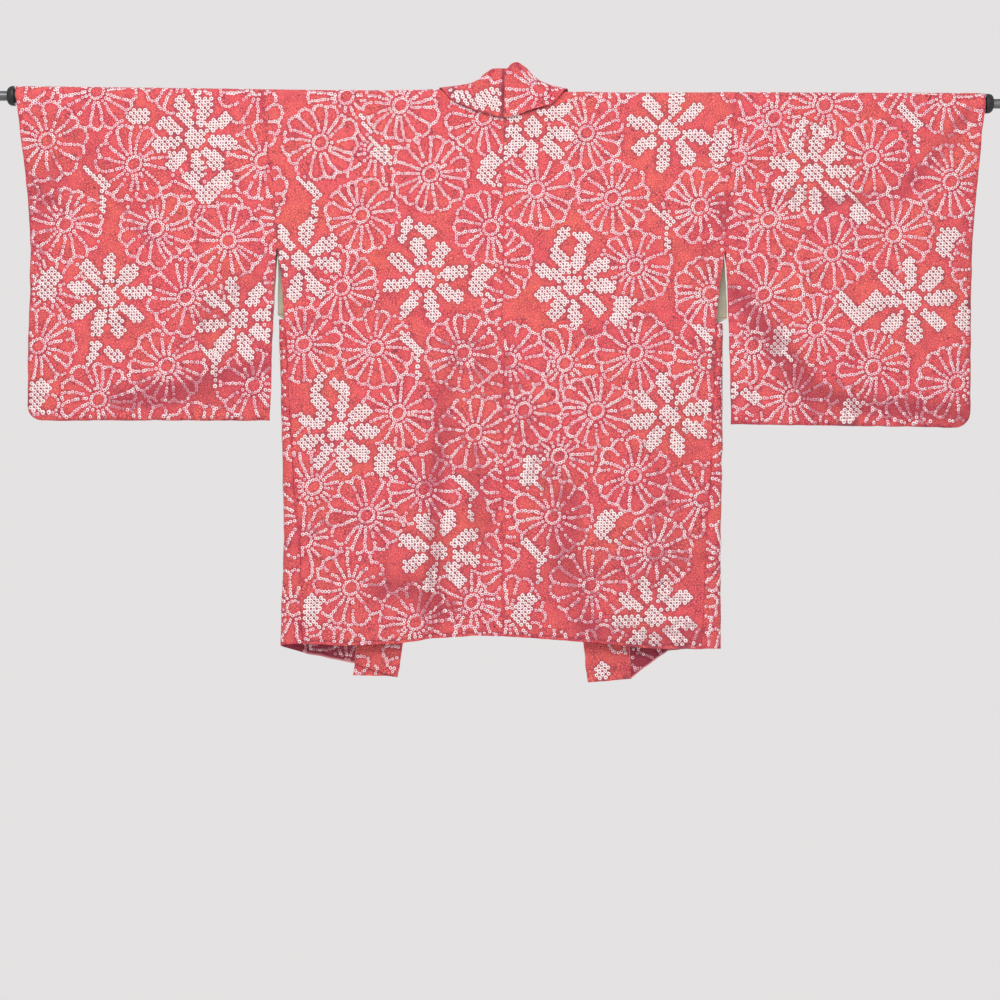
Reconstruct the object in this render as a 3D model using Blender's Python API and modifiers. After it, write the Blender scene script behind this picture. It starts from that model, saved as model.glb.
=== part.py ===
"""A haori jacket hung flat on a display rod.

The rod lies along X through both sleeves and its middle is the origin. +Z is up,
the back of the garment faces -Y and its open front faces +Y. Each half of the body
is one length of cloth that runs from the back hem over the rod to the front hem.
All lengths are in metres.
"""
import math
from collections import namedtuple

import bpy
import bmesh
from mathutils import Vector

# ---------------------------------------------------------------- driving dimensions
CLOTH = 0.0016              # lined and faced silk, laid flat
COLLAR_CLOTH = 0.0014
LINING_CLOTH = 0.0010
SEAM_GAP = 0.0003           # between neighbouring pieces

ROD_RADIUS = 0.0085
ROD_END_X = {"left": 0.6435, "right": 0.6362}
KNOB_RADIUS = 0.0132
KNOB_LENGTH = 0.0100
KNOB_BEVEL = 0.0018
BAR_RADIUS = 0.0065
BAR_END_X = 0.7000

DRAPE_RADIUS = 0.0092       # inside of the cloth where it lies over the rod
ARC_STEPS = 8
CENTRE_SEAM_TOP_X = 0.0010  # the centre back seam hangs a little to one side
CENTRE_SEAM_HEM_X = 0.0048
BODY_LENGTH = 0.7200

ARMHOLE_END_Z = -0.1970     # where the sleeve leaves the body
GUSSET_TOP_Z = -0.2930
SIDE_EDGE_END_Z = -0.2850

BODY_COLUMNS = 10
BACK_ROWS = 10              # below the gusset's top
FRONT_ROWS = 10
COLLAR_WIDTH_STEPS = 4      # on each half of the folded collar
COLLAR_FOLD_RADIUS = 0.0022
FOLD_STEPS = 4
SEWN_FLAP_RADIUS = 0.0121   # least distance of the collar's sewn flap from the rod's axis
TURNED_FLAP_RADIUS = 0.0152
COLLAR_BULGE = 0.0016
COLLAR_SEAM_GAP = 0.0004

SLEEVE_BOTTOM_Z = -0.4266
SLEEVE_BOTTOM_INNER_Z = -0.4244
SLEEVE_CORNER = 0.0180
CUFF_OPEN_Z = -0.0200       # the cuff is as deep as the rod down to here
WRIST_END_Z = -0.2100
SLEEVE_LOW_DEPTH = 0.0072   # half the sleeve's depth near its bottom
SLEEVE_TAPER_X = (0.3000, 0.3800)   # the sleeve grows thinner than the body between these
SLEEVE_ROUND_Z = -0.3626    # below this the sleeve closes towards its bottom fold
SLEEVE_BOTTOM_SHARE = 0.62  # what is left of its depth there
SEWN_EDGE = 0.15            # share of the sleeve's width that narrows to its sewn edge

FOLD_FADE_Z = 0.1200        # folds grow from nothing over this length below the rod

# ---------------------------------------------------------------- outlines, side by side
# x is measured outwards from the middle plane, so the same columns serve both sides.
Outline = namedtuple("Outline", "z left right")
ARMHOLE_AND_SIDE_BACK = (
    Outline(0.0000, 0.3165, 0.3065),
    Outline(-0.0600, 0.3090, 0.3010),
    Outline(-0.1230, 0.3015, 0.2965),
    Outline(ARMHOLE_END_Z, 0.2958, 0.2938),
    Outline(-0.2400, 0.2890, 0.2875),
    Outline(SIDE_EDGE_END_Z, 0.2866, 0.2830),
    Outline(GUSSET_TOP_Z, 0.2850, 0.2826),
    Outline(-0.5000, 0.2722, 0.2765),
    Outline(-0.5820, 0.2624, 0.2710),
    Outline(-0.7200, 0.2586, 0.2672),
)
ARMHOLE_AND_SIDE_FRONT = (
    Outline(0.0000, 0.3165, 0.3065),
    Outline(-0.0600, 0.3090, 0.3010),
    Outline(-0.1230, 0.3015, 0.2965),
    Outline(ARMHOLE_END_Z, 0.2958, 0.2938),
    Outline(-0.2400, 0.2960, 0.2968),
    Outline(SIDE_EDGE_END_Z, 0.2962, 0.2990),
    Outline(GUSSET_TOP_Z, 0.2850, 0.2826),
    Outline(-0.5000, 0.2722, 0.2765),
    Outline(-0.7200, 0.2586, 0.2672),
)
SIDE_FOLD = (               # the gusset's outer fold, the body's silhouette
    Outline(GUSSET_TOP_Z, 0.2934, 0.2917),
    Outline(-0.4400, 0.2885, 0.2931),
    Outline(-0.5800, 0.2850, 0.2916),
    Outline(-0.7200, 0.2884, 0.2927),
)
SLEEVE_INNER_BACK = (       # below the armhole
    Outline(ARMHOLE_END_Z, 0.2961, 0.2941),
    Outline(-0.2080, 0.2982, 0.2954),
    Outline(-0.3200, 0.3012, 0.3000),
    Outline(-0.4300, 0.3044, 0.3041),
)
SLEEVE_INNER_FRONT = (
    Outline(ARMHOLE_END_Z, 0.2961, 0.2941),
    Outline(-0.2400, 0.2995, 0.3005),
    Outline(-0.3200, 0.3030, 0.3040),
    Outline(-0.4300, 0.3060, 0.3055),
)
SLEEVE_OUTER = (
    Outline(0.0130, 0.6431, 0.6358),
    Outline(-0.0660, 0.6330, 0.6285),
    Outline(-0.1120, 0.6274, 0.6246),
    Outline(-0.1450, 0.6240, 0.6222),
    Outline(-0.2080, 0.6203, 0.6186),
    Outline(-0.3680, 0.6230, 0.6182),
    Outline(-0.4300, 0.6227, 0.6182),
)

Hem = namedtuple("Hem", "x left right")
BACK_HEM = (                # z of the back hem, x outwards
    Hem(0.0000, -0.7075, -0.7075),
    Hem(0.0385, -0.7069, -0.7095),
    Hem(0.0850, -0.7110, -0.7128),
    Hem(0.1280, -0.7175, -0.7152),
    Hem(0.1650, -0.7200, -0.7191),
    Hem(0.2087, -0.7212, -0.7221),
    Hem(0.2950, -0.7180, -0.7214),
)
FRONT_HEM = (               # z of the front hem out to the gusset
    Hem(0.1755, -0.7486, -0.7636),
    Hem(0.1913, -0.7458, -0.7502),
    Hem(0.2247, -0.7398, -0.7254),
    Hem(0.2533, -0.7344, -0.7238),
    Hem(0.2950, -0.7190, -0.7222),
)

# Along X: how much higher than the rod the cloth stands on top of it.
Lift = namedtuple("Lift", "x height")
SHOULDER_LIFT = (
    Lift(-0.6431, 0.0024),
    Lift(-0.3400, 0.0010),
    Lift(-0.2300, 0.0002),
    Lift(-0.1500, 0.0004),
    Lift(-0.0900, 0.0022),
    Lift(0.0960, 0.0006),
    Lift(0.1740, 0.0002),
    Lift(0.3080, 0.0018),
    Lift(0.6358, 0.0030),
)

# The neckline from the centre back to the shoulder, and the same rows where they
# end at the armhole, so that the cloth's mesh fans out.
Neck = namedtuple("Neck", "x z side_z")
NECKLINE = (
    Neck(0.0000, -0.0190, -0.0780),
    Neck(0.0050, -0.0190, -0.0715),
    Neck(0.0150, -0.0183, -0.0630),
    Neck(0.0270, -0.0165, -0.0520),
    Neck(0.0395, -0.0137, -0.0390),
    Neck(0.0505, -0.0098, -0.0260),
    Neck(0.0595, -0.0052, -0.0130),
)
NECK_BACK_X = 0.0660        # where the neckline meets the rod's height at the back
NECK_TOP_X = 0.0790
NECK_FRONT_X = 0.0830
FRONT_SEAM_HEM_X = {"left": 0.1908, "right": 0.1756}

# The folded collar: its fold and its free edge, from the centre back (0) to the end of
# the neckline (1), over the rod (2 on top, 3 at its front) and down to the hem (5).
Collar = namedtuple("Collar", "along fold_x fold_y fold_z free_x free_y free_z")
COLLAR_LEFT = (
    Collar(0.00, 0.0000, -0.0137, 0.0359, 0.0000, -0.0148, -0.0253),
    Collar(0.14, 0.0045, -0.0137, 0.0359, 0.0045, -0.0148, -0.0250),
    Collar(0.35, 0.0095, -0.0132, 0.0357, 0.0150, -0.0148, -0.0225),
    Collar(0.60, 0.0160, -0.0115, 0.0345, 0.0340, -0.0146, -0.0168),
    Collar(0.80, 0.0240, -0.0080, 0.0298, 0.0520, -0.0143, -0.0095),
    Collar(1.00, 0.0305, -0.0035, 0.0240, 0.0660, -0.0138, -0.0035),
    Collar(1.50, 0.0345, 0.0035, 0.0200, 0.0775, -0.0105, 0.0095),
    Collar(2.00, 0.0345, 0.0095, 0.0152, 0.0830, 0.0010, 0.0148),
    Collar(2.50, 0.0330, 0.0132, 0.0078, 0.0850, 0.0103, 0.0103),
    Collar(3.00, 0.0310, 0.0138, -0.0010, 0.0860, 0.0140, 0.0000),
    Collar(4.00, 0.0400, 0.0118, -0.0800, 0.0940, 0.0133, -0.0800),
    Collar(5.00, 0.1355, 0.0118, -0.7638, 0.1922, 0.0133, -0.7620),
)
COLLAR_RIGHT = (
    Collar(0.00, 0.0000, -0.0139, 0.0359, 0.0000, -0.0150, -0.0253),
    Collar(0.14, 0.0045, -0.0139, 0.0361, 0.0045, -0.0150, -0.0250),
    Collar(0.35, 0.0100, -0.0137, 0.0425, 0.0150, -0.0150, -0.0228),
    Collar(0.60, 0.0175, -0.0122, 0.0447, 0.0340, -0.0148, -0.0155),
    Collar(0.80, 0.0262, -0.0083, 0.0402, 0.0510, -0.0144, -0.0110),
    Collar(1.00, 0.0340, -0.0035, 0.0326, 0.0640, -0.0138, -0.0070),
    Collar(1.50, 0.0390, 0.0035, 0.0250, 0.0770, -0.0108, 0.0090),
    Collar(2.00, 0.0370, 0.0095, 0.0175, 0.0835, 0.0010, 0.0148),
    Collar(2.50, 0.0340, 0.0132, 0.0088, 0.0850, 0.0103, 0.0103),
    Collar(3.00, 0.0315, 0.0138, -0.0010, 0.0860, 0.0140, 0.0000),
    Collar(4.00, 0.0390, 0.0118, -0.0800, 0.0940, 0.0133, -0.0800),
    Collar(5.00, 0.1196, 0.0118, -0.7685, 0.1752, 0.0133, -0.7640),
)
COLLARS = {"left": COLLAR_LEFT, "right": COLLAR_RIGHT}
FRONT_ALONG_Z = -0.0800     # z of the collar's station 4

# The largest folds. depth is how far the cloth stands out from its flat place, away
# from the rod where it is positive; lean turns the fold's line from upright, towards +X
# at its top, in degrees.
Fold = namedtuple("Fold", "layer x z across along lean depth")
FOLDS = (
    Fold("back", -0.0850, -0.6550, 0.0110, 0.1050, 0.0, -0.0055),
    Fold("back", -0.0620, -0.6300, 0.0190, 0.1200, 0.0, 0.0050),
    Fold("back", -0.0800, -0.4700, 0.0200, 0.0750, 6.0, -0.0035),
    Fold("back", -0.0250, -0.5200, 0.0300, 0.1000, -12.0, -0.0035),
    Fold("back", 0.0350, -0.5300, 0.0300, 0.1500, 5.0, 0.0045),
    Fold("back", 0.0850, -0.5700, 0.0260, 0.0900, 10.0, -0.0035),
    Fold("back", 0.1150, -0.6750, 0.0220, 0.0600, -8.0, -0.0040),
    Fold("back", 0.1500, -0.5600, 0.0320, 0.1300, 4.0, 0.0035),
    Fold("back", 0.2150, -0.5500, 0.0300, 0.1000, -6.0, -0.0025),
    Fold("back", -0.1900, -0.5600, 0.0400, 0.1700, 6.0, 0.0040),
    Fold("back", -0.1400, -0.3300, 0.0550, 0.1400, -20.0, 0.0030),
    Fold("back", 0.1350, -0.3000, 0.0550, 0.1400, 16.0, 0.0030),
    Fold("back", 0.2720, -0.2150, 0.0220, 0.0400, -20.0, -0.0025),
    Fold("back", 0.3850, -0.3550, 0.0230, 0.0800, -34.0, -0.0048),
    Fold("back", 0.4350, -0.3200, 0.0330, 0.0850, -36.0, 0.0040),
    Fold("back", 0.5200, -0.4050, 0.0130, 0.1000, 90.0, -0.0026),
    Fold("back", 0.5500, -0.0900, 0.0150, 0.0500, 40.0, -0.0022),
    Fold("back", 0.5700, -0.2000, 0.0450, 0.1000, 10.0, 0.0028),
    Fold("back", -0.4100, -0.3980, 0.0170, 0.0850, 90.0, -0.0028),
    Fold("back", -0.3800, -0.2850, 0.0280, 0.0800, 46.0, -0.0026),
    Fold("back", -0.4400, -0.2400, 0.0450, 0.1000, 40.0, 0.0030),
    Fold("back", -0.6000, -0.1300, 0.0250, 0.0800, 8.0, -0.0024),
    Fold("front", -0.2300, -0.5600, 0.0300, 0.1700, 3.0, 0.0040),
    Fold("front", 0.2200, -0.5200, 0.0300, 0.1700, -4.0, 0.0045),
    Fold("front", 0.1500, -0.3800, 0.0300, 0.1300, -9.0, -0.0030),
    Fold("front", -0.1550, -0.3900, 0.0300, 0.1300, 10.0, -0.0030),
    Fold("front", 0.4200, -0.2900, 0.0500, 0.1000, -25.0, 0.0035),
    Fold("front", -0.4200, -0.2800, 0.0500, 0.1000, 25.0, 0.0035),
)

SIDES = {"left": -1.0, "right": 1.0}

# ---------------------------------------------------------------- materials
SHIBORI = ("shibori_silk", (0.87, 0.11, 0.12, 1.0), 0.62, 0.0)
LINING = ("lining_silk", (0.61, 0.57, 0.43, 1.0), 0.50, 0.0)
BLACK = ("black_plastic", (0.015, 0.016, 0.018, 1.0), 0.35, 0.0)
GREY = ("grey_metal", (0.16, 0.165, 0.175, 1.0), 0.38, 1.0)


def material(name, color, roughness, metallic):
    mat = bpy.data.materials.get(name)
    if mat is None:
        mat = bpy.data.materials.new(name)
        mat.use_nodes = True
        shader = mat.node_tree.nodes["Principled BSDF"]
        shader.inputs["Base Color"].default_value = color
        shader.inputs["Roughness"].default_value = roughness
        shader.inputs["Metallic"].default_value = metallic
    return mat


# ---------------------------------------------------------------- reading the tables
def between(low, high, share):
    return low + (high - low) * share


def ease(share):
    share = min(max(share, 0.0), 1.0)
    return share * share * (3.0 - 2.0 * share)


def read(table, key, column):
    """The column's value at key, straight between rows, and flat beyond the ends."""
    rows = sorted(table, key=lambda row: row[0])
    if key <= rows[0][0]:
        return getattr(rows[0], column)
    for low, high in zip(rows, rows[1:]):
        if key <= high[0]:
            share = (key - low[0]) / (high[0] - low[0])
            return between(getattr(low, column), getattr(high, column), share)
    return getattr(rows[-1], column)


def read_smooth(table, key, column):
    """As read, but along a curve that passes through every row."""
    rows = table
    if key <= rows[0][0]:
        return getattr(rows[0], column)
    for index in range(len(rows) - 1):
        low, high = rows[index], rows[index + 1]
        if key <= high[0] or index == len(rows) - 2:
            break
    before = rows[max(index - 1, 0)]
    after = rows[min(index + 2, len(rows) - 1)]
    span = high[0] - low[0]
    share = min((key - low[0]) / span, 1.0)
    start, end = getattr(low, column), getattr(high, column)
    if before is low or after is high:
        return between(start, end, share)
    start_slope = (end - getattr(before, column)) / (high[0] - before[0]) * span
    end_slope = (getattr(after, column) - start) / (after[0] - low[0]) * span
    square, cube = share * share, share ** 3
    return (
        (2 * cube - 3 * square + 1) * start
        + (cube - 2 * square + share) * start_slope
        + (3 * square - 2 * cube) * end
        + (cube - square) * end_slope
    )


# ---------------------------------------------------------------- the hanging surface
def fold_depth(layer, x, z):
    """How far the folds move the cloth away from its flat place."""
    total = 0.0
    for fold in FOLDS:
        if fold.layer != layer:
            continue
        lean = math.radians(fold.lean)
        across = (x - fold.x) * math.cos(lean) - (z - fold.z) * math.sin(lean)
        along = (x - fold.x) * math.sin(lean) + (z - fold.z) * math.cos(lean)
        total += fold.depth * math.exp(-((across / fold.across) ** 2) - (along / fold.along) ** 2)
    return total * ease(-z / FOLD_FADE_Z)


def hanging(layer, x, z, depth=DRAPE_RADIUS):
    """A point on the inside of the cloth that hangs in front of or behind the rod."""
    way = -1.0 if layer == "back" else 1.0
    return Vector((x, way * (depth + fold_depth(layer, x, z)), z))


def over_rod(x, angle):
    """A point on the inside of the cloth where it lies over the rod; 0 degrees is the front."""
    height = DRAPE_RADIUS + read(SHOULDER_LIFT, x, "height")
    return Vector((x, DRAPE_RADIUS * math.cos(angle), height * math.sin(angle)))


def arc_angles():
    """The angles of the rows over the rod, from the back to the front."""
    return [math.pi * (1.0 - step / ARC_STEPS) for step in range(1, ARC_STEPS)]


# ---------------------------------------------------------------- building meshes
def put_in_collection(obj, collection):
    for old in list(obj.users_collection):
        old.objects.unlink(obj)
    collection.objects.link(obj)


def grid_object(name, rows, collection, mat, closed=False):
    """An object from rows of points, all rows of one length. closed joins the last row to the first."""
    mesh = bpy.data.meshes.new(name)
    bm = bmesh.new()
    verts = [[bm.verts.new(point) for point in row] for row in rows]
    count = len(rows)
    for i in range(count if closed else count - 1):
        here, there = verts[i], verts[(i + 1) % count]
        for j in range(len(here) - 1):
            bm.faces.new((here[j], here[j + 1], there[j + 1], there[j]))
    bmesh.ops.remove_doubles(bm, verts=bm.verts, dist=1e-6)
    bmesh.ops.dissolve_degenerate(bm, dist=1e-7, edges=bm.edges)
    bm.to_mesh(mesh)
    bm.free()
    obj = bpy.data.objects.new(name, mesh)
    collection.objects.link(obj)
    obj.data.materials.append(material(*mat))
    mesh.shade_smooth()
    return obj


def thicken(obj, thickness, offset):
    solid = obj.modifiers.new("cloth", "SOLIDIFY")
    solid.thickness = thickness
    solid.offset = offset
    solid.use_even_offset = True
    solid.use_rim = True
    return solid


# ---------------------------------------------------------------- body
BACK_LEVELS = (GUSSET_TOP_Z, SIDE_EDGE_END_Z, -0.2400, ARMHOLE_END_Z, -0.1560, -0.1150)
FRONT_LEVELS = (
    0.0, -0.0300, -0.0750, -0.1200, -0.1600,
    ARMHOLE_END_Z, -0.2400, SIDE_EDGE_END_Z, GUSSET_TOP_Z,
)
MIDDLE_OF_HALF_X = 0.2000   # where a row's height is taken to find its two ends


def inner_x(side, layer, z):
    """Where the body's cloth ends towards the middle: the centre seam, or the collar's seam."""
    down = min(max(-z / BODY_LENGTH, 0.0), 1.0)
    if layer == "back":
        return SIDES[side] * between(CENTRE_SEAM_TOP_X, CENTRE_SEAM_HEM_X, down) + 0.5 * SEAM_GAP
    return between(NECK_FRONT_X, FRONT_SEAM_HEM_X[side], down)


def outer_x(side, layer, z):
    """Where the body's cloth ends at the armhole, the side opening or the gusset."""
    table = ARMHOLE_AND_SIDE_BACK if layer == "back" else ARMHOLE_AND_SIDE_FRONT
    return read(table, z, side)


def body_shares():
    return [column / BODY_COLUMNS for column in range(BODY_COLUMNS + 1)]


def level_row(side, layer, z):
    """A level row of the body from its inner to its outer edge."""
    start, end = inner_x(side, layer, z), outer_x(side, layer, z)
    return [hanging(layer, SIDES[side] * between(start, end, share), z) for share in body_shares()]


def neck_row(side, neck):
    """A row that starts on the neckline and ends lower, at the armhole."""
    start, end = inner_x(side, "back", 0.0) + neck.x, outer_x(side, "back", neck.side_z)
    row = []
    for share in body_shares():
        x = SIDES[side] * between(start, end, share)
        row.append(hanging("back", x, between(neck.z, neck.side_z, share)))
    return row


def rod_row(side, angle):
    """A row over the rod; the neckline opens from the back to the front."""
    turn = 2.0 * (1.0 - angle / math.pi)
    if turn < 1.0:
        start = between(NECK_BACK_X, NECK_TOP_X, turn)
    else:
        start = between(NECK_TOP_X, NECK_FRONT_X, turn - 1.0)
    end = outer_x(side, "back", 0.0)
    return [over_rod(SIDES[side] * between(start, end, share), angle) for share in body_shares()]


def hem_row(side, layer, down):
    """A row between the gusset's top and the hem; down is 1 at the hem."""
    hem = BACK_HEM if layer == "back" else FRONT_HEM
    level = between(GUSSET_TOP_Z, read(hem, MIDDLE_OF_HALF_X, side), down)
    start, end = inner_x(side, layer, level), outer_x(side, layer, level)
    row = []
    for share in body_shares():
        across = between(start, end, share)
        z = between(GUSSET_TOP_Z, read(hem, abs(across), side), down)
        row.append(hanging(layer, SIDES[side] * across, z))
    return row


def body_rows(side):
    """Rows from the back hem over the rod to the front hem, and which of them starts the neck."""
    rows = [hem_row(side, "back", step / BACK_ROWS) for step in range(BACK_ROWS, 0, -1)]
    rows += [level_row(side, "back", z) for z in BACK_LEVELS]
    neck_start = len(rows)
    rows += [neck_row(side, neck) for neck in NECKLINE]
    rows += [rod_row(side, math.pi)]
    rows += [rod_row(side, angle) for angle in arc_angles()]
    rows += [level_row(side, "front", z) for z in FRONT_LEVELS]
    rows += [hem_row(side, "front", step / FRONT_ROWS) for step in range(1, FRONT_ROWS + 1)]
    return rows, neck_start


def make_body(side, collection):
    rows = body_rows(side)[0]
    if side == "left":
        rows = [list(reversed(row)) for row in rows]
    obj = grid_object("body_" + side, rows, collection, SHIBORI)
    thicken(obj, CLOTH, 1.0)
    return obj


# ---------------------------------------------------------------- collar
def collar_along(index, count, point):
    """The collar table's key for a row of the neckline, rod or front seam."""
    neck_rows = len(NECKLINE)
    if index <= neck_rows:
        return index / neck_rows
    arc_rows = ARC_STEPS
    if index <= neck_rows + arc_rows:
        return 1.0 + 2.0 * (index - neck_rows) / arc_rows
    if point.z > FRONT_ALONG_Z:
        return 3.0 + point.z / FRONT_ALONG_Z
    return 4.0 + min((point.z - FRONT_ALONG_Z) / (count - FRONT_ALONG_Z), 1.0)


def clear_of_rod(point, least):
    """The point, moved out to this distance from the rod's axis if it is nearer."""
    away = math.hypot(point.y, point.z)
    if away < least:
        point.y *= least / away
        point.z *= least / away
    return point


def collar_sections(side):
    """Sections of the collar: the sewn flap, the fold, and the turned flap with its free edge."""
    rows, neck_start = body_rows(side)
    sewn = [row[0] for row in rows[neck_start:]]
    hem_z = sewn[-1].z
    table = COLLARS[side]
    way = SIDES[side]
    first_x = inner_x(side, "back", 0.0)
    stations = []
    for index, point in enumerate(sewn):
        along = collar_along(index, hem_z, point)
        value = {name: read_smooth(table, along, name) for name in Collar._fields[1:]}
        fold = Vector((way * (first_x + value["fold_x"]), value["fold_y"], value["fold_z"]))
        free = Vector((way * (first_x + value["free_x"]), value["free_y"], value["free_z"]))
        # The sewn edge on the cloth's mid surface, moved off the body's edge.
        radial = Vector((0.0, point.y, point.z if along < 3.0 else 0.0))
        if along <= 1.0:
            radial.z = 0.0
        radial.normalize()
        edge = point + radial * (0.5 * CLOTH)
        if along > 3.0:
            drop = point.z / hem_z
            fold.z = between(fold.z, table[-1].fold_z * drop, min(along - 3.0, 1.0))
            free.z = between(free.z, table[-1].free_z * drop, min(along - 3.0, 1.0))
            fold.y += fold_depth("front", fold.x, fold.z)
            free.y += fold_depth("front", free.x, free.z)
        stations.append((edge, fold, free, radial))
    sections = []
    for index, (edge, fold, free, radial) in enumerate(stations):
        last = stations[max(index - 1, 0)]
        following = stations[min(index + 1, len(stations) - 1)]
        path = (following[0] + following[1]) - (last[0] + last[1])
        if index == 0:
            path = Vector((path.x, 0.0, 0.0))
        reach = (fold - edge).normalized()
        normal = reach.cross(path).normalized()
        if normal.dot(radial) < 0.0:
            normal.negate()
        start = edge + reach * COLLAR_SEAM_GAP
        outward = normal.cross(path).normalized()
        if outward.dot(reach) < 0.0:
            outward.negate()
        # The fold is a half circle square to the collar's length.
        bend = []
        for step in range(FOLD_STEPS + 1):
            turn = math.pi * step / FOLD_STEPS
            bend.append(fold + (outward * math.sin(turn) - normal * math.cos(turn)) * COLLAR_FOLD_RADIUS)
        section = []
        for step in range(COLLAR_WIDTH_STEPS):
            least = SEWN_FLAP_RADIUS if step else 0.0
            section.append(clear_of_rod(start.lerp(bend[0], step / COLLAR_WIDTH_STEPS), least))
        section += bend[:-1]
        for step in range(COLLAR_WIDTH_STEPS + 1):
            share = step / COLLAR_WIDTH_STEPS
            bulge = normal * (COLLAR_BULGE * math.sin(math.pi * share))
            section.append(clear_of_rod(bend[-1].lerp(free, share) + bulge, TURNED_FLAP_RADIUS))
        sections.append(section)
    return sections


def make_collar(side, collection):
    sections = collar_sections(side)
    if side == "right":
        sections = [list(reversed(section)) for section in sections]
    obj = grid_object("collar_" + side, sections, collection, SHIBORI)
    thicken(obj, COLLAR_CLOTH, 0.0)
    return obj


# ---------------------------------------------------------------- sleeves
def sleeve_bottom(across, x_outer):
    """The sleeve's bottom edge, with its rounded outer corner."""
    share = (across - SLEEVE_INNER_BACK[-1].left) / (x_outer - SLEEVE_INNER_BACK[-1].left)
    bottom = between(SLEEVE_BOTTOM_INNER_Z, SLEEVE_BOTTOM_Z, min(max(share, 0.0), 1.0))
    past = min(max(across - (x_outer - SLEEVE_CORNER), 0.0), SLEEVE_CORNER)
    return bottom + SLEEVE_CORNER - math.sqrt(SLEEVE_CORNER ** 2 - past ** 2)


def sleeve_inner_x(side, layer, z):
    if z >= ARMHOLE_END_Z:
        return outer_x(side, layer, z) + SEAM_GAP
    table = SLEEVE_INNER_BACK if layer == "back" else SLEEVE_INNER_FRONT
    return read(table, z, side)


def sleeve_half_depth(across, share, z):
    """Half the sleeve's depth: the rod's near the top and the body, less below and at the sewn edge."""
    start, end = SLEEVE_TAPER_X
    low = ease(z / SLEEVE_BOTTOM_Z) * ease((across - start) / (end - start))
    depth = between(DRAPE_RADIUS, SLEEVE_LOW_DEPTH, low)
    closing = ease((z - SLEEVE_ROUND_Z) / (SLEEVE_BOTTOM_Z - SLEEVE_ROUND_Z))
    depth *= between(1.0, SLEEVE_BOTTOM_SHARE, closing)
    into_edge = max((share - (1.0 - SEWN_EDGE)) / SEWN_EDGE, 0.0)
    sewn = ease((z - CUFF_OPEN_Z) / (WRIST_END_Z - CUFF_OPEN_Z))
    return depth * between(1.0, math.sqrt(max(1.0 - into_edge ** 2, 0.0)), sewn)


SLEEVE_LEVELS = (1.0, 0.972, 0.90, 0.80, 0.69, 0.58, 0.5225, 0.4608, 0.35, 0.2350, 0.1170, 0.0)
SLEEVE_COLUMNS = (0.0, 0.12, 0.25, 0.38, 0.51, 0.64, 0.76, 0.86, 0.93, 0.98, 1.0)


def sleeve_row(side, layer, level):
    z_mid = level * SLEEVE_BOTTOM_Z
    inner, outer = sleeve_inner_x(side, layer, z_mid), read(SLEEVE_OUTER, z_mid, side)
    row = []
    for share in SLEEVE_COLUMNS:
        across = between(inner, outer, share)
        z = level * sleeve_bottom(across, outer)
        depth = sleeve_half_depth(across, share, z)
        closed = min(depth / SLEEVE_LOW_DEPTH, 1.0)
        if level == 1.0 or (share == 1.0 and z <= WRIST_END_Z):
            row.append(Vector((SIDES[side] * across, 0.0, z)))
            continue
        way = -1.0 if layer == "back" else 1.0
        x = SIDES[side] * across
        row.append(Vector((x, way * (depth + closed * fold_depth(layer, x, z)), z)))
    return row


def make_sleeve(side, collection):
    rows = [sleeve_row(side, "back", level) for level in SLEEVE_LEVELS]
    inner, outer = sleeve_inner_x(side, "back", 0.0), read(SLEEVE_OUTER, 0.0, side)
    for angle in arc_angles():
        across = [between(inner, outer, share) for share in SLEEVE_COLUMNS]
        rows.append([over_rod(SIDES[side] * x, angle) for x in across])
    rows += [sleeve_row(side, "front", level) for level in reversed(SLEEVE_LEVELS[1:])]
    if side == "left":
        rows = [list(reversed(row)) for row in rows]
    obj = grid_object("sleeve_" + side, rows, collection, SHIBORI, closed=True)
    thicken(obj, CLOTH, 1.0)
    return obj


# ---------------------------------------------------------------- gussets and lining
GUSSET_ROWS = 10
GUSSET_STEPS = 6
GUSSET_HEM_X = 0.2700       # where the body's hems are read for the gusset's


def make_gusset(side, collection):
    """The tapered strip between back and front, folded round the side of the body."""
    way = SIDES[side]
    rows = []
    for step in range(GUSSET_ROWS + 1):
        share = step / GUSSET_ROWS
        z_back = between(GUSSET_TOP_Z, read(BACK_HEM, GUSSET_HEM_X, side), share)
        z_front = between(GUSSET_TOP_Z, read(FRONT_HEM, GUSSET_HEM_X, side), share)
        fold_x = read(SIDE_FOLD, z_back, side) - CLOTH
        x_back = outer_x(side, "back", z_back) + SEAM_GAP
        x_front = outer_x(side, "front", z_front) + SEAM_GAP
        y_back = hanging("back", way * x_back, z_back).y
        y_front = hanging("front", way * x_front, z_front).y
        row = []
        for turn_step in range(GUSSET_STEPS + 1):
            turn = turn_step / GUSSET_STEPS
            angle = math.pi * turn
            sewn_x = between(x_back, x_front, turn)
            x = sewn_x + (fold_x - sewn_x) * math.sin(angle)
            y = between(y_back, y_front, 0.5 - 0.5 * math.cos(angle))
            z = between(z_back, z_front, turn * turn)
            row.append(Vector((way * x, y, z)))
        rows.append(row)
    if side == "left":
        rows = [list(reversed(row)) for row in rows]
    obj = grid_object("gusset_" + side, rows, collection, SHIBORI)
    thicken(obj, CLOTH, 1.0)
    return obj


LINING_ROWS = 5
LINING_COLUMNS = 3
LINING_WIDTH = 0.0160
LINING_TOP_Z = -0.2030
LINING_END_Z = -0.2840
LINING_INSET = 0.0006       # from the front's edge


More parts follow.
